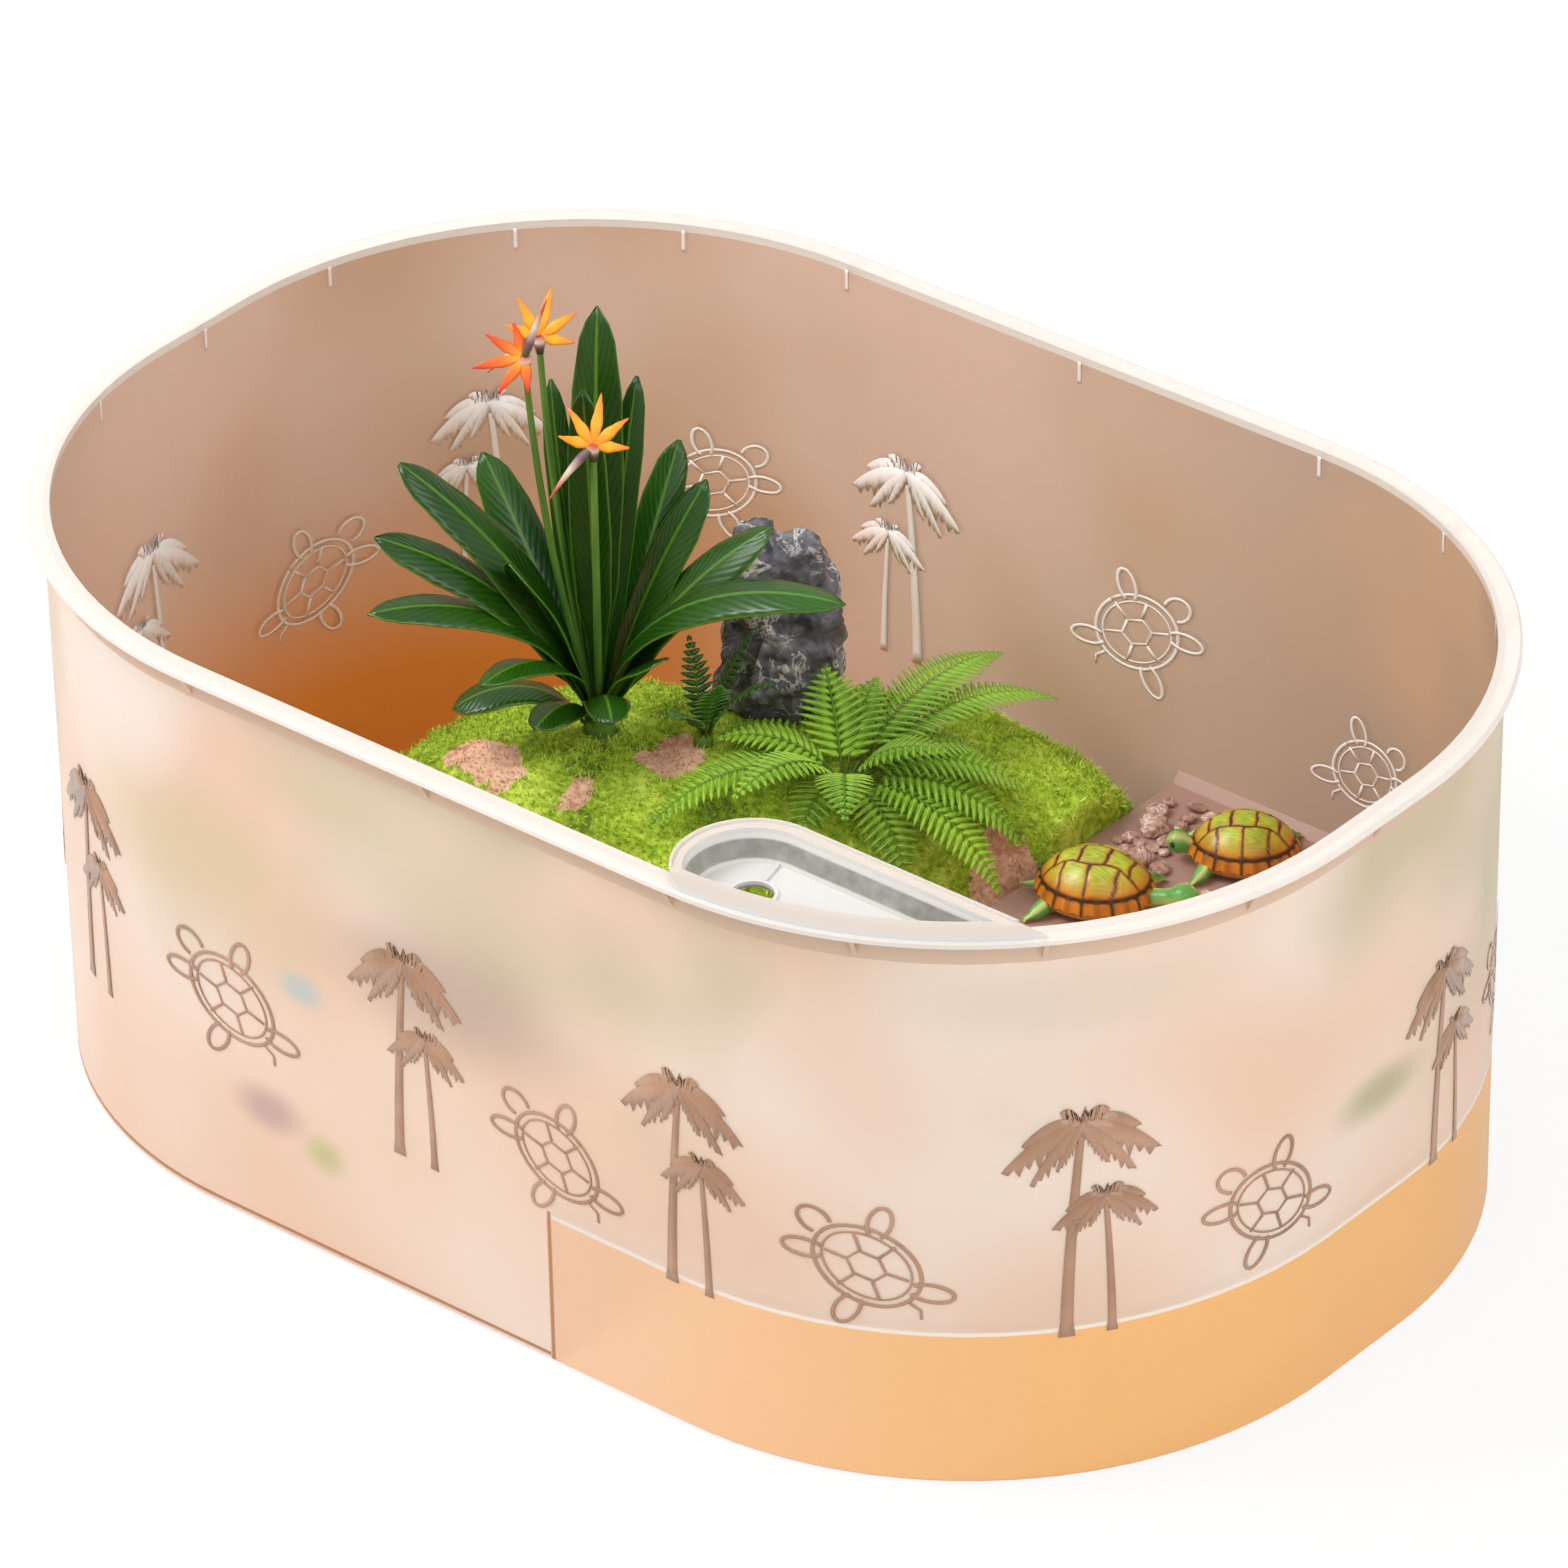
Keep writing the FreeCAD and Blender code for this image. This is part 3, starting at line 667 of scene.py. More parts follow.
# %% [markdown]
# The wall is frosted all over except where a pattern of palms and turtles was masked off, so the
# pattern is clear. From outside it reads as brown, because the shaded inside shows through it, and from
# inside it reads as white. Each figure is drawn here as strips of film that follow the wall, one set
# on its outer face and one on its inner face, which also carries pale ticks where the gussets under
# the rim show through. A drawing on a flat card would stand off the rounded ends.

# %% Wall places
WALL_REACH = (0.2145, 0.1445)
WALL_CORNER = 0.127
WALL_HEIGHT = 0.182
WALL_DRAFT = 0.0015
WALL_OUTER_TOP = 0.0009
WALL_THICKNESS = 0.0022
FILM_LIFT = 0.00014
FILM_THICKNESS = 0.0001
STRIP_LIFT = 0.000006


def wall_point(round_length, height, inner):
    """Point on the wall's face, a length round the tub from the middle of its front, and a height."""
    side_x = WALL_REACH[0] - WALL_CORNER
    side_y = WALL_REACH[1] - WALL_CORNER
    arc = WALL_CORNER * math.pi / 2
    left = round_length % (4 * side_x + 4 * side_y + 4 * arc)
    turn = -90.0
    place = Vector((0, -WALL_REACH[1], 0))
    runs = (("line", side_x), ("arc", (1, -1)), ("line", 2 * side_y), ("arc", (1, 1)), ("line", 2 * side_x),
            ("arc", (-1, 1)), ("line", 2 * side_y), ("arc", (-1, -1)), ("line", side_x))
    for kind, value in runs:
        length = value if kind == "line" else arc
        if left <= length:
            break
        left -= length
        if kind == "line":
            place += polar(length, turn + 90)
        else:
            turn += 90
            place = Vector((value[0] * side_x, value[1] * side_y, 0)) + polar(WALL_CORNER, turn)
    if kind == "line":
        place += polar(left, turn + 90)
    else:
        turn += math.degrees(left / WALL_CORNER)
        place = Vector((value[0] * side_x, value[1] * side_y, 0)) + polar(WALL_CORNER, turn)
    out = WALL_OUTER_TOP - WALL_DRAFT * (1 - height / WALL_HEIGHT)
    out += -WALL_THICKNESS - FILM_LIFT if inner else FILM_LIFT
    return place + polar(out, turn) + Vector((0, 0, height))


# %% Palm and turtle strips
PALM_SPREAD = 1.2
# Each palm leaf: length, lift and droop. Millimetres and degrees.
PALM_LEAVES = ((16.5, 36, 13), (-15.5, 32, 13), (13, 62, 9), (-12, 66, 8), (18, 6, 12), (-17.5, 2, 12),
               (13, -20, 10), (-12.5, -24, 10), (8, 84, 4), (-7, 98, 4), (9, -46, 5), (-9, -50, 5))
FROND_STEPS = 18
TRUNK_STEPS = 14
TURTLE_TURN = math.radians(26)
TURTLE_STRETCH = 1.2


def ribbon(edges):
    """Rows of a strip from its two edges."""
    return [[Vector(first), Vector(last)] for first, last in zip(*edges)]


def palm_frond(crown, length, lift, droop, seed):
    """Drooping leaf with a ragged lower edge, as a strip in the wall's plane, in mm."""
    upper = []
    lower = []
    body = 0.44 * abs(length)
    for step in range(FROND_STEPS + 1):
        share = step / FROND_STEPS
        x = crown[0] + length * math.cos(math.radians(lift)) * share
        y = crown[1] + abs(length) * math.sin(math.radians(lift)) * share - droop * share * share
        depth = body * math.sin(math.pi * min(1, share * 0.9 + 0.1)) ** 0.6
        tooth = (1.0, 0.42, 0.8, 0.5)[(step + seed) % 4]
        upper.append((x, y))
        lower.append((x - 0.2 * depth * math.copysign(1, length), y - depth * tooth - 0.05))
    return ribbon((upper, lower))


def palm(height, lean, size, seed):
    """Trunk and crown of one palm, foot at the origin."""
    edges = ([], [])
    for step in range(TRUNK_STEPS + 1):
        share = step / TRUNK_STEPS
        middle = lean * share ** 1.6
        half = size * (1.75 - 0.8 * share + (0.5 if share < 0.04 else 0))
        for edge, x in zip(edges, (middle - half, middle + half)):
            edge.append((x, height * share))
    strips = [ribbon(edges)]
    crown = (lean, height + 0.6 * size)
    reach = size * PALM_SPREAD
    for index, (length, lift, droop) in enumerate(PALM_LEAVES):
        strips.append(palm_frond(crown, length * reach, lift, droop * reach, seed + index))
    return strips


def outline(points, width=1.05, closed=True):
    """Strip of even width along points of the wall's plane."""
    count = len(points)
    edges = ([], [])
    for index, point in enumerate(points):
        before = points[index - 1] if closed or index else point
        after = points[(index + 1) % count] if closed or index < count - 1 else point
        along = Vector((after[0] - before[0], after[1] - before[1])).normalized()
        for edge, side in zip(edges, (width / 2, -width / 2)):
            edge.append((point[0] - along.y * side, point[1] + along.x * side))
    if closed:
        for edge in edges:
            edge.append(edge[0])
    return ribbon(edges)


def swing(x, y, turn):
    """Point of the wall's plane, turned about the origin."""
    return x * math.cos(turn) - y * math.sin(turn), x * math.sin(turn) + y * math.cos(turn)


def egg(middle, across, tall, tilt=0.0, start=0, end=360, steps=36):
    """Points of an oval, or part of one, in the wall's plane."""
    points = []
    turn = math.radians(tilt)
    for step in range(steps + (end - start < 360)):
        angle = math.radians(start + (end - start) * step / steps)
        x, y = swing(across * math.cos(angle), tall * math.sin(angle), turn)
        points.append((middle[0] + x, middle[1] + y))
    return points


def turned(point, middle):
    """Point of the turtle's plan, turned and widened about the middle of its shell."""
    x, y = swing(point[0] - middle[0], point[1] - middle[1], TURTLE_TURN)
    return middle[0] + x * TURTLE_STRETCH, middle[1] + y


def line_turtle():
    """A pond turtle seen from above, in outline: shell, plates, head, feet and tail."""
    shell = (3, 25)
    strips = [outline(egg(shell, 11.5, 14.5, 18)), outline(egg(shell, 9.4, 12.2, 18), 0.6)]
    strips.append(outline(egg(shell, 4.2, 5.4, 18, steps=6), 0.8))
    for angle in range(0, 360, 60):
        turn = math.radians(angle + 18)
        first = (shell[0] + 4.6 * math.cos(turn), shell[1] + 5.4 * math.sin(turn))
        last = (shell[0] + 10.0 * math.cos(turn), shell[1] + 11.6 * math.sin(turn))
        strips.append(outline([first, last], 0.8, closed=False))
    strips.append(outline(egg((-2.6, 42.4), 3.6, 4.6, 18, -38, 218, 22), closed=False))
    for middle, tilt, start, end in (((-9.5, 34.5), 62, -60, 240), ((12.5, 37.0), -40, -60, 240),
                                     ((-8.0, 13.5), 128, -60, 240), ((13.5, 11.5), 232, -60, 240)):
        strips.append(outline(egg(middle, 2.8, 5.4, tilt, start, end, 22), closed=False))
    strips.append(outline([(7.2, 10.6), (8.6, 7.4), (7.4, 4.6)], 0.7, closed=False))
    return [[[turned(point, shell) for point in row] for row in strip] for strip in strips]


# %% Film on the wall
# Each figure: length round the tub from the middle of its front, foot height and scale.
PALMS = ((-145, 48, 1.0), (-12, 48, 1.0), (88, 48, 1.0), (204, 48, 1.06), (341, 48, 0.95), (445, 52, 0.9),
         (674, 54, 0.98), (813, 62, 0.9), (942, 52, 0.98))
LINE_TURTLES = ((-81, 50, 1.0), (40, 48, 0.95), (142, 47, 0.98), (261, 50, 0.95), (392, 56, 0.9),
                (498, 60, 0.86), (584, 72, 0.98), (741, 72, 0.9), (871, 52, 0.95), (1007, 50, 0.95))
# Gussets under the rim, as lengths round the tub from the middle of its front. Millimetres.
GUSSETS = (-87.5, 0, 87.5, 142.9, 193.9, 253.8, 304.5, 355.3, 415.1, 466.1, 521.5, 609, 696.5, 751.9, 802.9,
           862.8, 913.5, 964.3, 1024.1, 1075.1)
GUSSET_FOOT = 172.8
GUSSET_STEP = 1.2
GUSSET_HALF = 0.6


def lay(pile, strips, along, foot, scale, inner):
    """Lays strips of the wall's plane on one face of the wall."""
    for order, strip in enumerate(strips):
        rows = []
        for row in strip:
            points = []
            for x, y in (point[:2] for point in row):
                spot = wall_point((along + x * scale) * MM, (foot + y * scale) * MM, inner)
                away = polar(1, math.degrees(math.atan2(spot.y, spot.x)))
                points.append(spot + away * order * STRIP_LIFT * (-1 if inner else 1))
            rows.append(points)
        pile.skin(rows)


def film_material(name, colour, deep, shine):
    """Clear window in frosted plastic, a little uneven."""
    material, shader = new_material(name, Roughness=shine)
    grain = mottle(material, 60, 0.3).outputs["Height"]
    link(material, blend_colour(material, stretch(material, grain, 0.7, 1.3), deep, colour),
         shader.inputs["Base Color"])
    bump(material, shader, grain, 0.00002)
    return material


# Painted shade and light: the outer film is brown for the shaded inside seen through it, the inner one white
# for the light that comes through.
OUTER_FILM = film_material("clear_outside", srgb(186, 144, 116), srgb(150, 112, 84), 0.16)
INNER_FILM = film_material("clear_inside", srgb(255, 250, 246), srgb(255, 240, 232), 0.22)


def gusset_tick(side):
    """Pale upright where a gusset on the outside shows through the wall."""
    steps = [GUSSET_FOOT + GUSSET_STEP * step for step in range(7)]
    return ribbon(([(side - GUSSET_HALF, z) for z in steps], [(side + GUSSET_HALF, z) for z in steps]))


def add_films():
    """Palms and turtles on both faces of the wall, and the gussets that show through it."""
    for name, inner, material in (("outer_pattern", False, OUTER_FILM), ("inner_pattern", True, INNER_FILM)):
        pile = Pile()
        for along, foot, scale in PALMS:
            lay(pile, palm(66, 4, 1.0, 0), along - 4, foot, scale, inner)
            lay(pile, palm(43, -2, 0.68, 1), along + 9, foot, scale, inner)
        for along, foot, scale in LINE_TURTLES:
            lay(pile, line_turtle(), along, foot, scale, inner)
        if inner:
            lay(pile, [gusset_tick(side) for side in GUSSETS], 0, 0, 1.0, True)
        thicken(pile.make(name, "tub", material), FILM_THICKNESS, 0)


add_films()

# %% [markdown]
# The big plant is a moulded one with strap leaves. Each leaf is a skin of points along an arc: its
# width follows a table, its two halves fall away from the midrib, and its margins ripple a little.
# Flat cards with a leaf picture would be lighter, but they have no thickness from the side. The colour
# comes from each leaf's own texture place: pale along the midrib, with fine slanting veins.

# %% Leaf material


def leaf_material(name, dark, light, rib, vein_count=34.0, shine=0.28):
    """Glossy leaf with slanting veins and a pale midrib and margin."""
    material, shader = new_material(name, Roughness=shine, Specular_IOR_Level=0.5)
    across, along = sheet_place(material)
    away = calc(material, "ABSOLUTE", calc(material, "SUBTRACT", across, 0.5))
    slant = calc(material, "MULTIPLY_ADD", away, -0.35, along)
    vein = calc(material, "SINE", calc(material, "MULTIPLY", slant, vein_count * 2 * math.pi))
    tone = calc(material, "MULTIPLY_ADD", vein, 0.08, mottle(material, 160).outputs["Coarse"])
    colour = blend_colour(material, stretch(material, tone, 0.25, 0.85), dark, light)
    for start, full in ((0.05, 0.02), (0.462, 0.49)):
        colour = blend_colour(material, stretch(material, away, start, full), colour, rib)
    link(material, colour, shader.inputs["Base Color"])
    bump(material, shader, vein, 0.00006, 0.5)
    return material


BROAD_GREEN = leaf_material("broad_leaf_green", srgb(16, 54, 6), srgb(48, 100, 14), srgb(84, 130, 36), 22.0)
STEM_GREEN = leaf_material("stem_green", srgb(64, 112, 34), srgb(120, 160, 70), srgb(104, 146, 62), 3.0, 0.4)

# %% Leaf shapes
PEG_REACH = 0.0117
LEAF_WIDTHS = ((0, 0.17), (0.1, 0.22), (0.22, 0.46), (0.38, 0.86), (0.58, 1.0), (0.78, 0.96), (0.9, 0.76),
               (0.965, 0.46), (1, 0.05))
LEAF_SLIM = 0.86
LEAF_THICKNESS = 0.5 * MM
LEAF_CUP = 0.24
LEAF_RIPPLE = 0.035
LEAF_ROWS = 26
LEAF_COLUMNS = 9
# Each leaf: direction in plan, rise, length, width, arch as a share of length, roll.
BROAD_LEAVES = (
    (119, 85, 134, 18.0, 0.03, 0), (-63, 86, 118, 14.0, 0.02, 0), (163, 79, 108, 11.0, 0.03, -50),
    (89, 80, 110, 11.0, 0.05, 30), (-132, 60, 108, 19.0, 0.12, -35), (-174, 65, 88, 17.0, 0.08, -35),
    (-124, 50, 98, 19.0, 0.15, -25), (-112, 40, 92, 18.0, 0.20, -10), (-86, 38, 66, 15.0, 0.20, 0),
    (84, 68, 88, 15.0, 0.05, 35), (60, 66, 82, 16.0, 0.07, 25), (36, 54, 84, 19.0, 0.12, 25),
    (14, 38, 98, 19.0, 0.24, 15), (-130, 14, 40, 18.0, 0.26, 0), (-86, 26, 30, 16.0, 0.26, 0),
    (-42, 34, 34, 16.0, 0.26, 0), (-8, 52, 44, 15.0, 0.12, 0), (-100, 66, 74, 18.0, 0.04, 0),
)


def leaf_rows(length, width, arch, seed, widths=LEAF_WIDTHS, rows=LEAF_ROWS, columns=LEAF_COLUMNS):
    """Rows of points across a leaf, chord along +X, bowed towards +Z."""
    skin = []
    for index in range(rows):
        share = index / (rows - 1)
        middle, normal = bow(length, arch, share)
        half = width / 2 * table_value(widths, share)
        row = []
        for column in range(columns):
            side = 2 * column / (columns - 1) - 1
            ripple = LEAF_RIPPLE * width * math.sin(11 * share + seed + 2 * side) * side * side
            drop = LEAF_CUP * half * abs(side) ** 1.2
            row.append(middle + Vector((0, half * side, 0)) + normal * (ripple - drop))
        skin.append(row)
    return skin


def plant_base(node, x, y):
    """Where a plant leaves the island: over its node's peg."""
    return Vector((x * MM, y * MM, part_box(node)[0][2] + PEG_REACH))


PLANT_BASE = plant_base("broad_leaf_plant", -84, 23)
PLANT_CROWN = PLANT_BASE + Vector((0, 0, 2.5)) * MM
print("plant base", tuple(round(value, 4) for value in PLANT_BASE))

# %% Stem shapes
STEM_BOW = 0.16
# Each flower: its stem's top from the crown, the beak's direction and rise,
# and the sepals' direction, rise and roll.
FLOWERS = (
    ("flower_1", (-6, -21, 127), (40, 70), (-132, -8, -57)),
    ("flower_2", (-18, -1, 120), (-150, -40), (103, 55, 22)),
    ("flower_3", (18, -20, 106), (-118, -46), (112, 56, 15)),
)
STEM_STEPS = 24


def stem_points(place):
    """Points from the crown to a flower along an outward arc, and the direction at its end."""
    run = Vector(place) * MM
    top = PLANT_CROWN + run
    control = PLANT_CROWN + run / 2 + Vector((run.x, run.y, 0)) * 2 * STEM_BOW
    points = []
    for step in range(STEM_STEPS + 1):
        share = step / STEM_STEPS
        points.append(PLANT_CROWN * (1 - share) ** 2 + control * 2 * share * (1 - share) + top * share ** 2)
    return points, (top - control).normalized()


# %% Broad leaf plant


def add_broad_plant():
    """Peg, crown sheath, stems and leaves as one moulding."""
    pile = Pile()
    for seed, (direction, rise, length, width, arch, roll) in enumerate(BROAD_LEAVES):
        turn = aim(direction, rise, roll)
        root = PLANT_CROWN + polar(5.0 * MM * (1 - rise / 100), direction)
        rows = leaf_rows(length * MM, width * LEAF_SLIM * MM, arch, seed)
        pile.skin([[root + turn @ point for point in row] for row in rows])
    leaves = pile.make("broad_leaves", "broad_leaf", BROAD_GREEN, replaced=("broad_leaf_plant",))
    thicken(leaves, LEAF_THICKNESS)
    stems = Pile()
    for _, top, _, _ in FLOWERS:
        points, _ = stem_points(top)
        stems.tube(points, [(1.35 - 0.4 * index / STEM_STEPS) * MM for index in range(STEM_STEPS + 1)])
    crown = [PLANT_BASE + Vector((0, 0, height)) * MM for height in (-11, 0, 2, 5, 9, 13)]
    stems.tube(crown, [radius * MM for radius in (4.9, 4.9, 4.7, 4.3, 3.6, 2.2)], sides=20)
    stems.make("broad_leaf_stems", "broad_leaf", STEM_GREEN, replaced=("broad_leaf_plant",))


add_broad_plant()

# %% [markdown]
# Each flower is a long beak, green at its foot and purple and cream to its tip, with a crest of
# pointed orange sepals. A sepal is a small keeled leaf whose colour runs from yellow at its foot to
# red-orange at its tip, so both colours are ramps over the texture place.

# %% Flower materials


def run_material(name, stops, shine=0.42):
    """Material whose colour runs along its form."""
    material, shader = new_material(name, Roughness=shine)
    grain = mottle(material, 900)
    run = calc(material, "MULTIPLY_ADD", grain.outputs["Coarse"], 0.16, sheet_place(material)[1])
    link(material, ramp(material, run, stops), shader.inputs["Base Color"])
    bump(material, shader, grain.outputs["Height"], 0.00005)
    return material


ORANGE_SEPAL = run_material("orange_sepal", ((0.05, srgb(255, 190, 40)), (0.45, srgb(250, 120, 30)),
                                             (1.0, srgb(225, 60, 20))))
YELLOW_SEPAL = run_material("yellow_sepal", ((0.05, srgb(250, 130, 20)), (0.5, srgb(255, 178, 40)),
                                             (1.0, srgb(255, 140, 30))))
BEAK = run_material("flower_beak", ((0.1, srgb(60, 100, 40)), (0.35, srgb(120, 84, 96)),
                                    (0.62, srgb(228, 206, 190)), (0.9, srgb(200, 92, 60))))

# %% Flower shapes
SEPAL_WIDTHS = ((0, 0.25), (0.2, 0.7), (0.42, 1.0), (0.7, 0.62), (0.9, 0.24), (1, 0.02))
SEPAL_TURNS = (-84, -42, 0, 42, 84)
SEPAL_LENGTH = 15.5
SEPAL_WIDTH = 3.3
SEPAL_THICKNESS = 0.35 * MM
BEAK_LENGTH = 20.0
COLLAR_LENGTH = 4.0
COLLAR_RADII = (1.1, 1.7, 2.1, 0.8)
BEAK_STEPS = 14


def add_flower(name, place, beak_aim, sepal_aim, sepal_material, slot):
    """Collar, beak and crest of one flower."""
    points, lean = stem_points(place)
    top = points[-1]
    hub = top + lean * COLLAR_LENGTH * MM
    pile = Pile()
    collar = [top - lean * MM, top + lean * 2 * MM, hub, hub + lean * MM]
    pile.tube(collar, [radius * MM for radius in COLLAR_RADII], sides=14, slot=1)
    along = aim(*beak_aim) @ Vector((1, 0, 0))
    sag = Vector((0, 0, -1)) * (1.2 if beak_aim[1] < 0 else 0.4) * MM
    points = []
    radii = []
    for step in range(BEAK_STEPS + 1):
        share = step / BEAK_STEPS
        points.append(hub + along * BEAK_LENGTH * MM * share - sag * math.sin(math.pi * share))
        radii.append(MM * (0.12 + 1.9 * (1 - share) ** 0.8 * min(1, 0.55 + 2.2 * share)))
    pile.tube(points, radii, sides=12, slot=1, flatten=0.8)
    for turn in SEPAL_TURNS:
        turned_out = aim(*sepal_aim) @ Matrix.Rotation(math.radians(turn), 3, "Z")
        length = SEPAL_LENGTH * (1 - abs(turn) / 250) * MM
        rows = leaf_rows(length, SEPAL_WIDTH * MM, 0.06, turn, SEPAL_WIDTHS, 14, 5)
        pile.skin([[hub + turned_out @ point for point in row] for row in rows])
    flower = pile.make(name + "_bloom", slot, sepal_material, BEAK, replaced=(name,))
    thicken(flower, SEPAL_THICKNESS)


for flower, sepal, slot in zip(FLOWERS, (ORANGE_SEPAL, YELLOW_SEPAL, YELLOW_SEPAL),
                               ("orange_flower", "yellow_flower", "yellow_flower")):
    add_flower(*flower, sepal, slot)

# %% [markdown]
# A fern frond is a thin rib with pairs of narrow leaflets, longest in the middle of the frond. Each
# leaflet here is a small toothed blade that droops at its end. Cutting the comb out of one flat sheet
# gives the outline only, and from above it would look like card.

# %% Fern shapes
LEAFLET_STEPS = 8
RIB_STEPS = 12
LEAFLET_THICKNESS = 0.3 * MM


def leaflet(pile, root, along, out, up, reach, width, droop):
    """Small toothed blade from its root outwards, with a crease down its middle."""
    rows = []
    for step in range(LEAFLET_STEPS + 1):
        share = step / LEAFLET_STEPS
        middle = root + out * reach * share - up * droop * reach * share * share
        tooth = 0.78 if step % 2 else 1.0
        half = width / 2 * tooth * min(1, 0.55 + 2 * share) * (1 - share ** 2.2) + 0.00004
        low = middle - along * half - up * 0.25 * half
        high = middle + along * half - up * 0.25 * half
        rows.append([low, middle, high])
    pile.skin(rows)


def frond(pile, ribs, root, turn, length, width, arch, pairs, bare=0.18, slant=0.42):
    """Rib and leaflet pairs of one frond."""
    points = [root + turn @ bow(length, arch, step / RIB_STEPS)[0] for step in range(RIB_STEPS + 1)]
    ribs.tube(points, [MM * (0.55 - 0.04 * step) for step in range(RIB_STEPS + 1)], sides=6)
    pitch = length * (1 - bare) / pairs
    for pair in range(pairs):
        share = (pair + 0.5) / pairs
        middle, normal = bow(length, arch, bare + (1 - bare) * share)
        forward = Vector((normal.z, 0, -normal.x))
        reach = width / 2 * math.sin(math.pi * (0.12 + 0.86 * share) ** 0.8) * 1.34
        for side in (-1, 1):
            out = (forward * slant + Vector((0, side, 0)) + normal * 0.16).normalized()
            along = out.cross(normal).normalized() * side
            leaflet(pile, root + turn @ middle, turn @ along, turn @ out, turn @ normal,
                    max(reach, 0.6 * MM), pitch * 0.98, 0.22)


# %% Fern materials and pieces
FERN_GREEN = leaf_material("fern_green", srgb(60, 118, 16), srgb(166, 214, 48), srgb(186, 226, 90), 2.0, 0.45)
FERN_DARK = leaf_material("fern_dark", srgb(28, 84, 26), srgb(66, 138, 46), srgb(100, 150, 60), 2.0, 0.5)
FERN_RIB = run_material("fern_rib", ((0.0, srgb(84, 78, 30)), (0.5, srgb(96, 130, 40)),
                                     (1.0, srgb(110, 160, 50))))
# Each frond: direction in plan, rise, length, width, arch as a share of length.
FERN_FRONDS = (
    (142, 49, 34, 18.0, 0.10), (85, 13, 67, 18.0, 0.16), (70, 4, 72, 16.0, 0.18), (54, 6, 40, 17.0, 0.20),
    (39, -4, 52, 17.0, 0.20), (22, -13, 54, 17.0, 0.22), (3, -18, 57, 17.0, 0.22), (-21, -23, 37, 16.0, 0.26),
    (-79, -6, 26, 14.0, 0.26), (-120, -1, 59, 17.0, 0.22), (-171, 5, 41, 15.0, 0.20),
    (110, 34, 34, 14.0, 0.16), (18, 30, 36, 14.0, 0.18), (-50, 16, 36, 14.0, 0.22),
    (-145, 22, 38, 14.0, 0.20), (-98, 18, 44, 14.0, 0.22),
)
SMALL_FRONDS = (
    (-30, 62, 30, 9.0, 0.08), (60, 66, 36, 9.0, 0.06), (15, 48, 32, 9.0, 0.12), (150, 70, 30, 8.0, 0.06),
    (-80, 44, 24, 8.0, 0.14),
)


def add_fern(name, node, x, y, fronds, pairs, green):
    """Crown of fronds on a peg."""
    base = plant_base(node, x, y)
    blades = Pile()
    ribs = Pile()
    for direction, rise, length, width, arch in fronds:
        root = base + polar(1.5 * MM, direction) + Vector((0, 0, 2.5)) * MM
        frond(blades, ribs, root, aim(direction, rise), length * MM, width * MM, arch,
              round(pairs * length / 60))
    peg = [base + Vector((0, 0, height)) * MM for height in (-11, 0, 2, 4)]
    ribs.tube(peg, [radius * MM for radius in (2.9, 2.9, 2.6, 1.8)], sides=14)
    thicken(blades.make(name, "fern_leaf", green, replaced=(node,)), LEAFLET_THICKNESS)
    ribs.make(name + "_ribs", "fern_leaf", FERN_RIB, replaced=(node,))


add_fern("fern_fronds", "fern", -12, 48, FERN_FRONDS, 22, FERN_GREEN)
add_fern("small_fern_fronds", "small_fern", -55, 36, SMALL_FRONDS, 22, FERN_DARK)

# %% [markdown]
# The island is foam under moss, with bare patches of coconut fibre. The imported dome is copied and
# given an even mesh, and each vertex then moves along its normal by layered noise, less near the
# riser, so that the island stays in its own room. Thousands of tiny blades stand on it.

# %% Relief helper


def even_copy(node, voxel, *materials):
    """Copy of a node's mesh with evenly spaced vertices and new materials."""
    copy = bpy.data.objects.new("even", NODES[node].data.copy())
    bpy.context.scene.collection.objects.link(copy)
    remesh = copy.modifiers.new("even", "REMESH")
    remesh.mode = "VOXEL"
    remesh.voxel_size = voxel
    mesh = bpy.data.meshes.new_from_object(copy.evaluated_get(bpy.context.evaluated_depsgraph_get()))
    bpy.data.objects.remove(copy)
    mesh.materials.clear()
    for material in materials:
        mesh.materials.append(material)
    mesh.polygons.foreach_set("use_smooth", [True] * len(mesh.polygons))
    return mesh


def push_out(mesh, relief):
    """Moves each vertex along its first normal by what relief gives for its place."""
    normals = [vertex.normal.copy() for vertex in mesh.vertices]
    for vertex, normal in zip(mesh.vertices, normals):
        vertex.co += normal * relief(vertex.co)


def held(value, low=0.0, high=1.0):
    """Value kept between two limits."""
    return min(high, max(low, value))


def layered(point, scale, layers=4):
    """Noise of a few layers at a point, about -1 to 1."""
    return noise.fractal(Vector(point) * scale, 1.0, 2.1, layers)


# %% Moss materials
BARE_PATCHES = ((-0.104, -0.004, 0.019, 0.014), (-0.071, -0.003, 0.006, 0.01), (-0.058, 0.026, 0.014, 0.012),
                (-0.076, 0.066, 0.013, 0.013), (0.034, 0.064, 0.01, 0.017), (0.004, 0.012, 0.012, 0.006),
                (-0.112, 0.052, 0.014, 0.009), (-0.02, 0.094, 0.012, 0.01))


def bareness(point):
    """How bare the island is at a point: over 1 is open fibre."""
    most = 0.0
    for x, y, across, along in BARE_PATCHES:
        far = math.hypot((point[0] - x) / across, (point[1] - y) / along)
        most = max(most, 1.7 - far)
    return most + 0.35 * layered(point, 90, 3)


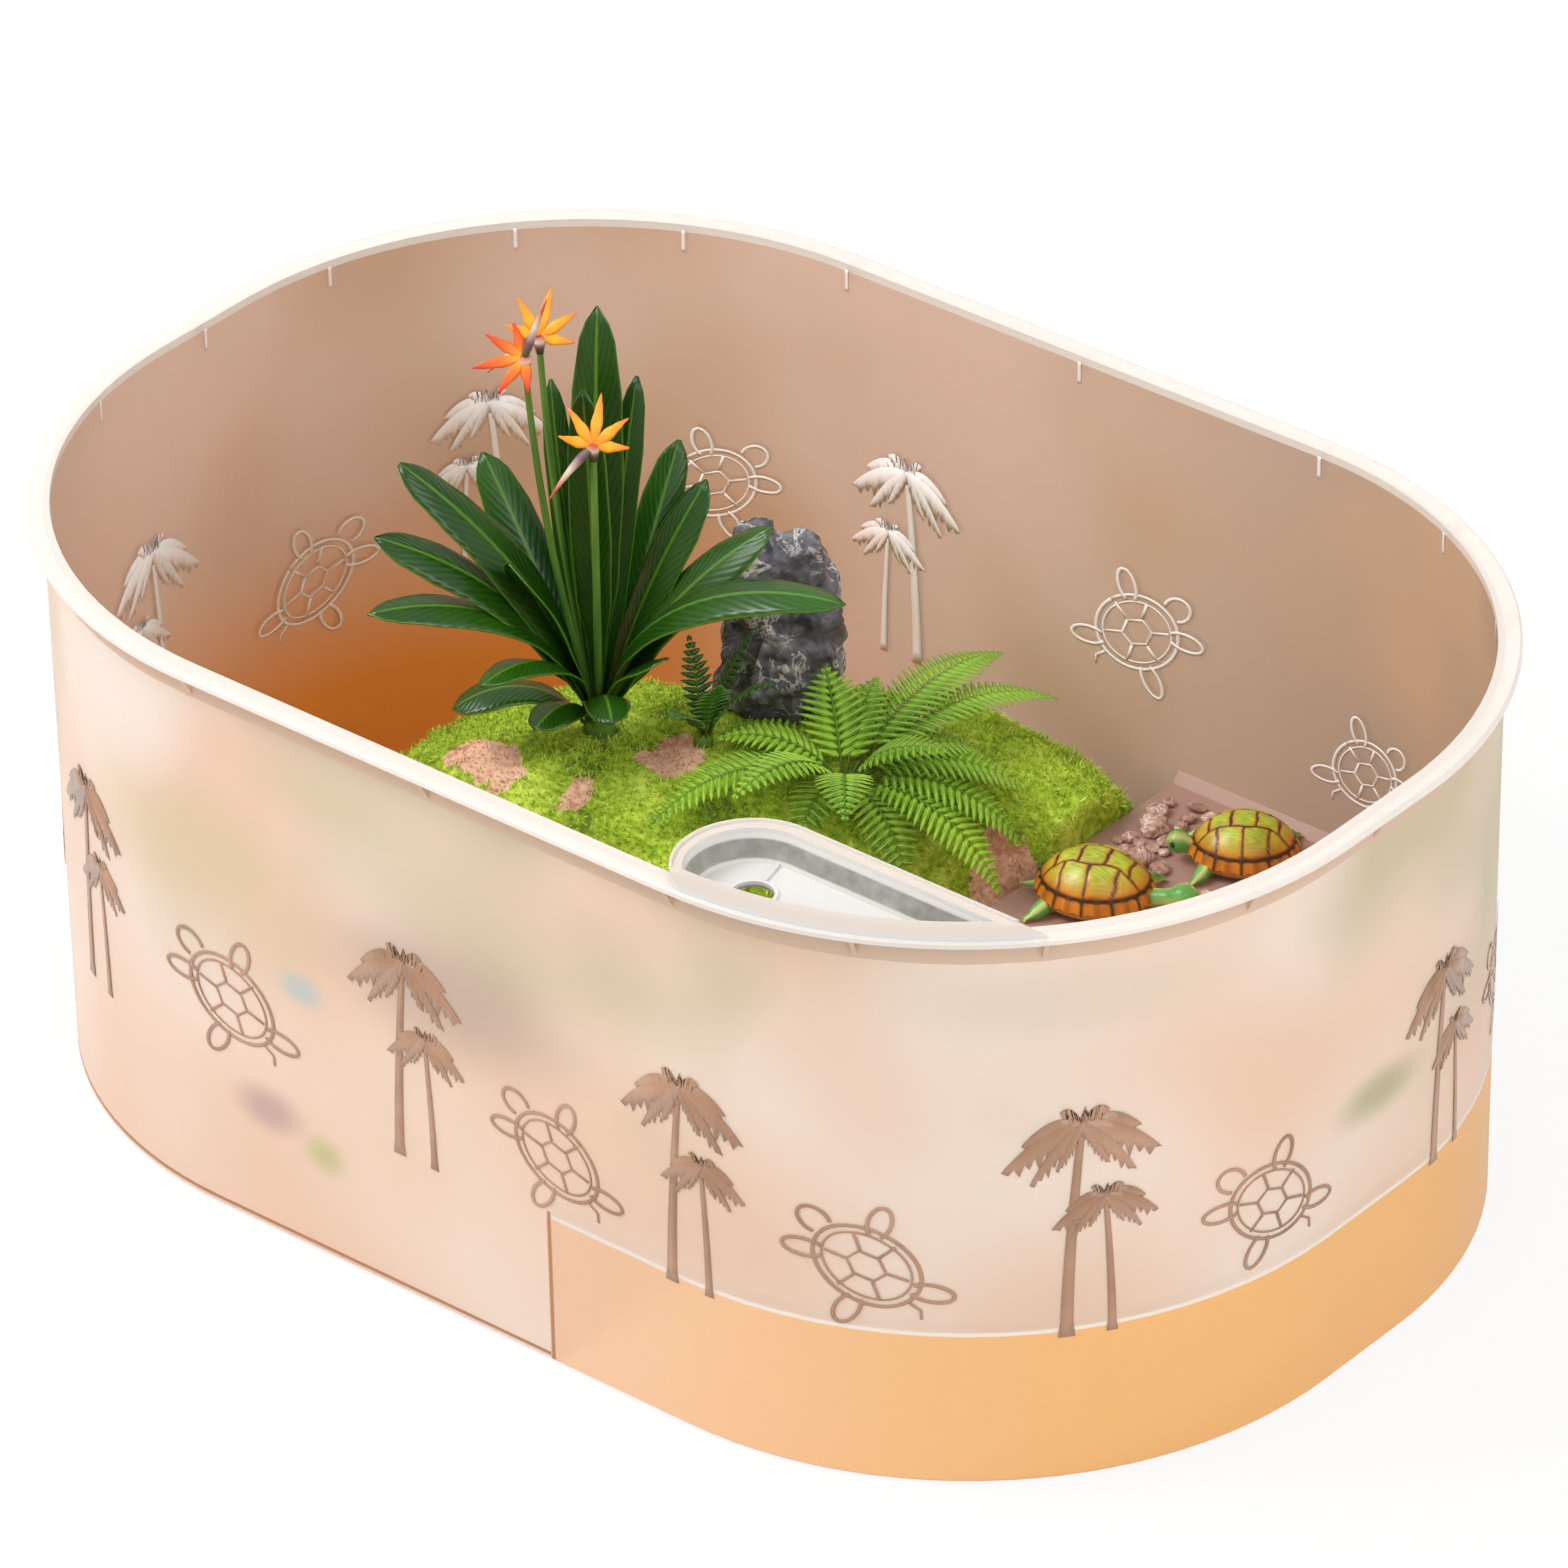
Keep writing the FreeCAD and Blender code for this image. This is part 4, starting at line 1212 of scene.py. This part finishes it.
def ground_material(name, low, middle, high, shine=0.9):
    """Rough ground in three tones."""
    material, shader = new_material(name, Roughness=shine)
    grain = mottle(material, 420, 0.12)
    rough = stretch(material, grain.outputs["Height"], 0.65, 1.35)
    colour = ramp(material, rough, ((0.1, low), (0.5, middle), (0.9, high)))
    link(material, colour, shader.inputs["Base Color"])
    bump(material, shader, grain.outputs["Height"], 0.0009)
    return material


MOSS_GROUND = ground_material("moss_ground", srgb(96, 124, 22), srgb(164, 196, 44), srgb(216, 236, 96))
FIBRE_GROUND = ground_material("fibre_ground", srgb(200, 144, 112), srgb(240, 196, 164), srgb(242, 206, 176))
MOSS_BLADE = run_material("moss_blade", ((0.0, srgb(104, 140, 26)), (0.45, srgb(178, 208, 50)),
                                         (1.0, srgb(232, 246, 120))), 0.7)
FIBRE_BLADE = run_material("fibre_blade", ((0.0, srgb(206, 154, 120)), (0.5, srgb(222, 176, 144)),
                                           (1.0, srgb(248, 218, 192))), 0.8)

# %% Moss island
ISLAND_RELIEF = 0.0022
ISLAND_VOXEL = 0.0016
RISER_X = 0.0377


def island_relief(point):
    """Lumps of the moss, held back near the riser and the floor."""
    room = held((RISER_X - 0.001 - point.x) / 0.004) * held((point.z - 0.004) / 0.01)
    lumps = layered(point, 38, 2) * 1.2 + layered(point + Vector((3, 1, 2)), 140, 4) * 0.6
    return ISLAND_RELIEF * room * held(lumps, -1.3, 0.9)


def add_island():
    """Island with relief and bare patches."""
    mesh = even_copy("moss_island", ISLAND_VOXEL, MOSS_GROUND, FIBRE_GROUND)
    push_out(mesh, island_relief)
    for polygon in mesh.polygons:
        polygon.material_index = int(bareness(polygon.center) > 1)
    return join_scene("island_ground", mesh, ("moss_island",))


ISLAND = add_island()

# %% Moss blades
BLADE_COUNT = 40000
BLADE_HEIGHT = 0.0020


def add_tufts():
    """Tiny blades over the upper faces of the island."""
    dice = random.Random(11)
    mesh = ISLAND.data
    tops = [polygon for polygon in mesh.polygons if polygon.normal.z > 0.05 and polygon.center.z > 0.012]
    chosen = dice.choices(tops, weights=[polygon.area for polygon in tops], k=BLADE_COUNT)
    pile = Pile()
    for polygon in chosen:
        bare = polygon.material_index == 1
        if bare and dice.random() < 0.35:
            continue
        root = polygon.center + Vector([dice.uniform(-1, 1) for _ in range(3)]) * 0.0009
        lean = Vector([dice.gauss(0, 1) for _ in range(3)]) * (1.3 if bare else 0.55)
        rise = (polygon.normal * (0.7 if bare else 1) + lean).normalized()
        if rise.dot(polygon.normal) < 0.15:
            rise = (rise + polygon.normal).normalized()
        height = BLADE_HEIGHT * dice.uniform(0.5, 1.2)
        across = rise.cross(Vector([dice.gauss(0, 1) for _ in range(3)])).normalized() * height * 0.16
        if root.x + height > RISER_X and root.z < 0.055:
            continue
        tone = dice.uniform(-0.18, 0.3)
        base = len(pile.vertices)
        pile.vertices += [tuple(root - across), tuple(root + across), tuple(root + rise * height)]
        pile.uvs += [(0, 0.15 + tone), (1, 0.15 + tone), (0.5, 0.75 + tone)]
        pile.faces.append((base, base + 1, base + 2))
        pile.slots.append(1 if bare else 0)
    pile.make("moss_tufts", "moss", MOSS_BLADE, FIBRE_BLADE, replaced=("moss_island",))


add_tufts()

# %% [markdown]
# The standing rock is a dark slate with pale veins. Copying the solid keeps its place and its two
# peaks. Ridged noise makes ledges and splits in it, which a smooth noise would only make lumpy.

# %% Standing rock
ROCK_RELIEF = 0.0038
ROCK_VOXEL = 0.0009
ROCK_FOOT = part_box("standing_rock")[0][2]


def rock_material(name, tones, vein, scale, shine):
    """Stone in three tones with pale veins."""
    material, shader = new_material(name, Roughness=shine)
    grain = mottle(material, scale, 0.2).outputs
    body = ramp(material, stretch(material, grain["Height"], 0.6, 1.4), tuple(zip((0.15, 0.55, 0.95), tones)))
    lines = noise_texture(material, object_place(material), Scale=scale * 0.22, Detail=5, Roughness=0.65,
                          Distortion=1.4)
    patchy = stretch(material, grain["Coarse"], 0.4, 0.54)
    veins = both(material, near_value(material, lines, 0.5, 0.024), patchy)
    link(material, blend_colour(material, veins, body, vein), shader.inputs["Base Color"])
    bump(material, shader, grain["Height"], 0.0006)
    return material


SLATE = rock_material("grey_slate", (srgb(46, 47, 54), srgb(104, 104, 110), srgb(172, 170, 170)),
                      srgb(216, 212, 208), 260, 0.55)


def rock_relief(point):
    """Ridges and ledges of the rock, held back at its foot."""
    ridge = 1 - abs(noise.fractal(Vector((point.x, point.y, point.z * 0.45)) * 55, 1.0, 2.2, 5)) * 2.8
    ledge = layered(Vector((point.x * 0.4, point.y * 0.4, point.z * 2.2)) + Vector((1, 2, 3)), 60, 3)
    return ROCK_RELIEF * held((point.z - ROCK_FOOT) / 0.008) * (0.55 * ridge + 0.45 * ledge - 0.4)


def add_rock():
    """Rock with ledges and splits."""
    mesh = even_copy("standing_rock", ROCK_VOXEL, SLATE)
    push_out(mesh, rock_relief)
    join_scene("slate_rock", mesh, ("standing_rock",))


add_rock()

# %% [markdown]
# Each turtle is a painted resin figure. The shell is a dome of fine rings, and every vertex knows which
# plate it belongs to: a middle row, a row on each side, and small plates round the edge. The seams
# between plates are sunk and dark. The plate pattern is worked out in numbers, so the paint and the
# relief always agree.

# %% Shell plates
SHELL_RINGS = 44
SHELL_SIDES = 108
SEAM = 0.03
EDGE_BAND = 0.9
EDGE_PLATE = 15
WAVER = 0.035
ROWS_MIDDLE = (-0.62, -0.22, 0.22, 0.62)
ROWS_SIDE = (-0.46, 0.0, 0.46)


def seam_distance(along, across):
    """Distance to the nearest seam, and which band of plates a point is on. The shell is -1 to 1."""
    reach = math.hypot(along, across)
    edge_seam = abs(reach - EDGE_BAND)
    if reach > EDGE_BAND:
        plate = math.degrees(math.atan2(across, along)) / EDGE_PLATE
        return min(edge_seam, abs(plate - round(plate)) * EDGE_PLATE * math.pi / 180 * reach), 2
    middle_band = 0.3 + 0.04 * math.cos(7.2 * along)
    band = int(abs(across) >= middle_band)
    cross = min(abs(along - row) for row in (ROWS_MIDDLE, ROWS_SIDE)[band])
    return min(edge_seam, abs(abs(across) - middle_band), cross), band


def wavered(along, across):
    """Point of the shell, moved a little so that the seams aren't ruled straight."""
    if math.hypot(along, across) > EDGE_BAND - 0.02:
        return along, across
    return (along + WAVER * noise.noise(Vector((along, across, 0)) * 5),
            across + WAVER * noise.noise(Vector((along, across, 9)) * 5))


def tint_material(name):
    """Painted resin that takes its colour from the mesh, broken up by fine noise."""
    material, shader = new_material(name, Roughness=0.32)
    paint = add_node(material, "VertexColor", layer_name="paint")
    grain = mottle(material, 700)
    shade = add_node(material, "Mix", data_type="RGBA", blend_type="MULTIPLY")
    shade.inputs[0].default_value = 0.55
    link(material, paint.outputs["Color"], shade.inputs[6])
    dirt = ramp(material, grain.outputs["Coarse"], ((0.3, (0.35, 0.35, 0.3)), (0.6, (1, 1, 1))))
    link(material, dirt, shade.inputs[7])
    link(material, shade.outputs[2], shader.inputs["Base Color"])
    bump(material, shader, grain.outputs["Height"], 0.0001)
    return material


TURTLE_PAINT = tint_material("turtle_paint")
SHELL_TOP = srgb(206, 218, 66)
SHELL_LOW = srgb(240, 118, 34)
SHELL_EDGE = srgb(236, 150, 52)
SHELL_STREAK = srgb(104, 140, 40)
SHELL_SEAM = srgb(58, 40, 14)
SKIN = srgb(120, 200, 90)
SKIN_STRIPE = srgb(246, 240, 150)
SKIN_DARK = srgb(44, 110, 56)
BELLY = srgb(205, 190, 110)
EYE = (0.01, 0.01, 0.01)


def mixed(first, last, share):
    """Colour between two colours."""
    return tuple(a + (b - a) * held(share) for a, b in zip(first, last))


# %% Turtle shapes
# Each turtle: node, place in plan, heading, shell length and how far the head is out. Millimetres.
TURTLES = (("turtle_walking", 60.5, 74, 22, 36, 9), ("turtle_resting", 81, 118, 214, 33, 3))
# Shares of the shell's length.
SHELL_WIDTH = 0.84
SHELL_RIM = 0.14
SHELL_RISE = 0.36
LEG = 0.26
# The dome's outline, and how deep the seams and how high the keel are.
DOME_POWERS = (2.2, 0.7)
SEAM_DEPTH = 0.011
KEEL_HEIGHT = 0.02
# The belly's rings: reach, and level from the shell's edge down as a share of the edge's height.
BELLY_RINGS = ((1.0, 0.0), (0.97, -0.3), (0.84, -0.62), (0.6, -0.72), (0.01, -0.72))
LEG_TURNS = (40, -40, 142, -142)
CLAW_TURNS = (-22, -8, 8, 22)
# Head and neck: place along, height as a share of the shell edge's, and radius as a share of a leg.
HEAD_RINGS = ((0.6, 0.9, 0.34), (0.75, 1.05, 0.3), (0.86, 1.2, 0.31), (0.94, 1.35, 0.42), (1.02, 1.38, 0.44),
              (1.1, 1.28, 0.32), (1.14, 1.2, 0.18), (1.155, 1.18, 0.02))


def shell_colour(along, across, height):
    """Paint of the shell at a point."""
    seam, band = seam_distance(*wavered(along, across))
    body = mixed(SHELL_LOW, SHELL_TOP, height * 1.7 - 0.4)
    if band == 2:
        body = SHELL_EDGE
    streak = 0.5 + 0.5 * math.sin(26 * along + 9 * math.sin(13 * across))
    body = mixed(body, SHELL_STREAK, 0.55 * streak * height)
    body = mixed(SHELL_LOW, body, seam / 0.12 + 0.25)
    return mixed(SHELL_SEAM, body, (seam - 0.4 * SEAM) / (0.8 * SEAM))


def limb(pile, paints, points, radii, sides, flatten=1.0):
    """Tube in striped skin."""
    start = len(pile.vertices)
    pile.tube(points, radii, sides, flatten=flatten)
    for index in range(start, len(pile.vertices)):
        side = (index - start) % sides
        stripe = abs(math.sin(side * math.pi * 3 / sides)) ** 6
        spot = 0.5 + 0.5 * noise.noise(Vector(pile.vertices[index]) * 900)
        paints.append(mixed(mixed(SKIN_DARK, SKIN, spot + 0.3), SKIN_STRIPE, stripe * 0.85))


def up(height):
    """Upward step."""
    return Vector((0, 0, height))


def add_shell(pile, paints, length, rim):
    """Domed shell with sunk seams, and the belly under it."""
    half = length / 2
    turns = [2 * math.pi * side / SHELL_SIDES for side in range(SHELL_SIDES)]
    rows = []
    for ring in range(SHELL_RINGS + 1):
        reach = max(ring / SHELL_RINGS, 0.001)
        row = []
        for angle in turns:
            along, across = reach * math.cos(angle), reach * math.sin(angle)
            height = max(0.0, 1 - reach ** DOME_POWERS[0]) ** DOME_POWERS[1]
            seam, band = seam_distance(*wavered(along, across))
            sink = max(0.0, 1 - seam / SEAM) * SEAM_DEPTH * length
            keel = KEEL_HEIGHT * length * max(0.0, 1 - abs(across) / 0.1) * height
            flare = 1 + 0.02 * (band == 2) * math.cos(24 * angle)
            row.append(Vector((half * along * flare, half * SHELL_WIDTH * across * flare,
                               rim + SHELL_RISE * length * height * 0.965 - sink + keel * 0.5)))
            paints.append(shell_colour(along, across, height))
        rows.append(row)
    pile.skin(rows, closed=True)
    belly = []
    for reach, level in BELLY_RINGS:
        belly.append([Vector((half * reach * math.cos(angle), half * SHELL_WIDTH * reach * math.sin(angle),
                              rim + rim * level)) for angle in turns])
        paints += [mixed(SHELL_EDGE, BELLY, -level)] * SHELL_SIDES
    pile.skin(belly, closed=True)


def add_leg(pile, paints, direction, length, leg, rim):
    """Leg with a foot and four claws."""
    root = polar(0.27 * length, direction) + up(rim * 0.8)
    knee = polar(0.3 * length + leg * 0.5, direction) + up(rim * 0.62)
    foot = polar(0.3 * length + leg * 0.95, direction + 6) + up(leg * 0.24)
    toe = polar(0.3 * length + leg * 1.18, direction + 6) + up(leg * 0.14)
    limb(pile, paints, [root, knee, foot, toe], [leg * share for share in (0.32, 0.29, 0.22, 0.1)], 16)
    for spread in CLAW_TURNS:
        claw = polar(leg * 0.2, direction + spread)
        limb(pile, paints, [foot + claw * 0.4, toe + claw * 0.6, toe + claw - up(leg * 0.08)],
             [leg * share for share in (0.1, 0.07, 0.015)], 6)


def add_head(pile, paints, tip, leg, rim):
    """Neck and head with two eyes."""
    spine = [Vector((min(tip * share, tip + leg * 0.46), 0, rim * height)) for share, height, _ in HEAD_RINGS]
    limb(pile, paints, spine, [leg * radius for _, _, radius in HEAD_RINGS], 20)
    for side in (-1, 1):
        eye = Vector((tip + leg * 0.12, side * leg * 0.33, rim * 1.5))
        start = len(pile.vertices)
        out = Vector((0.25, side, 0.25)).normalized()
        pile.tube([eye, eye + out * leg * 0.06, eye + out * leg * 0.12],
                  [leg * 0.12, leg * 0.1, leg * 0.02], 12)
        paints += [EYE] * (len(pile.vertices) - start)


def add_turtle(node, x, y, heading, length, head_out):
    """Shell, belly, limbs, head and tail of one turtle."""
    length *= MM
    rim = SHELL_RIM * length
    leg = LEG * length
    pile = Pile()
    paints = []
    add_shell(pile, paints, length, rim)
    for direction in LEG_TURNS:
        add_leg(pile, paints, direction, length, leg, rim)
    add_head(pile, paints, 0.5 * length + head_out * MM, leg, rim)
    rear = Vector((-0.44 * length, 0, rim * 0.8))
    tail = [rear, rear + Vector((-leg * 0.5, 0, -rim * 0.2)),
            rear + Vector((-leg * 0.8, leg * 0.1, -rim * 0.35))]
    limb(pile, paints, tail, [leg * 0.16, leg * 0.09, leg * 0.02], 10)
    turn = Matrix.Rotation(math.radians(heading), 3, "Z")
    place = Vector((x, y, LAND_FLOOR / MM)) * MM
    pile.vertices = [tuple(place + turn @ Vector(point)) for point in pile.vertices]
    piece = pile.make(node + "_figure", "turtle", TURTLE_PAINT, replaced=(node,))
    layer = piece.data.color_attributes.new("paint", "FLOAT_COLOR", "POINT")
    for index, paint in enumerate(paints):
        layer.data[index].color = (*paint, 1)


for turtle in TURTLES:
    add_turtle(*turtle)

# %% [markdown]
# The pebbles are small polished stones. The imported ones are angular, so they are copied with an even
# mesh, smoothed and roughened a little, and given a warm glassy finish. Smaller loose stones lie
# between them. Each falls at a random spot and is kept where it has room.

# %% Pebbles
PEBBLE_VOXEL = 0.0007
PEBBLE_WEAR = 0.00035
PEBBLE_FOOT = 0.0006
PEBBLE = rock_material("rose_pebble", (srgb(140, 96, 84), srgb(196, 152, 136), srgb(232, 202, 188)),
                       srgb(250, 236, 228), 500, 0.28)


def add_pebbles():
    """Pebbles with worn edges, untouched where they stand."""
    mesh = even_copy("pebbles", PEBBLE_VOXEL, PEBBLE)
    for vertex in mesh.vertices:
        if vertex.co.z > LAND_FLOOR + PEBBLE_FOOT:
            vertex.co += vertex.normal * PEBBLE_WEAR * layered(vertex.co, 260, 3)
    join_scene("rose_pebbles", mesh, ("pebbles",))


add_pebbles()

# %% Loose stones
# Packed pebbles in plan: middle and width. Millimetres.
PEBBLE_PLAN = ((50, 38, 15), (67, 46, 13), (82, 55, 15), (97, 66, 13), (103, 80, 12), (96, 92, 13),
               (57, 99, 11), (114, 102, 13), (117, 86, 12), (66, 28, 12), (100, 50, 12), (50, 115, 12))
GRAVEL_COUNT = 110
# Middle of the stones' area and its radius. Millimetres.
GRAVEL_AREA = (74, 96, 58)


def open_spot(x, y, size, taken):
    """Whether a small stone has room: clear of the turtles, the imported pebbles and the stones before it."""
    if any(math.hypot(x - turtle[1], y - turtle[2]) < 0.6 * turtle[4] + size for turtle in TURTLES):
        return False
    return all(math.hypot(x - other[0], y - other[1]) > 0.8 * (size + other[2]) for other in taken)


def add_gravel():
    """Small loose stones round the turtles' feet."""
    rng = random.Random(31)
    taken = [(x, y, width / 2) for x, y, width in PEBBLE_PLAN]
    stones = bmesh.new()
    while len(taken) < len(PEBBLE_PLAN) + GRAVEL_COUNT:
        x, y, size = rng.uniform(44, 132), rng.uniform(38, 132), rng.uniform(1.4, 3.2)
        if math.dist((x, y), GRAVEL_AREA[:2]) > GRAVEL_AREA[2] or not open_spot(x, y, size, taken):
            continue
        taken.append((x, y, size))
        squash = Vector((rng.uniform(0.8, 1.25), rng.uniform(0.8, 1.25), rng.uniform(0.45, 0.7)))
        middle = Vector((x, y, LAND_FLOOR / MM + size * squash.z * 0.8)) * MM
        for vertex in bmesh.ops.create_icosphere(stones, subdivisions=2, radius=1.0)["verts"]:
            rough = 1 + 0.22 * noise.noise(vertex.co * 1.3 + Vector((x, y, size)))
            vertex.co = middle + vertex.co * squash * rough * size * MM
    mesh = bpy.data.meshes.new("gravel")
    stones.to_mesh(mesh)
    stones.free()
    mesh.materials.append(PEBBLE)
    join_scene("rose_gravel", mesh)


add_gravel()
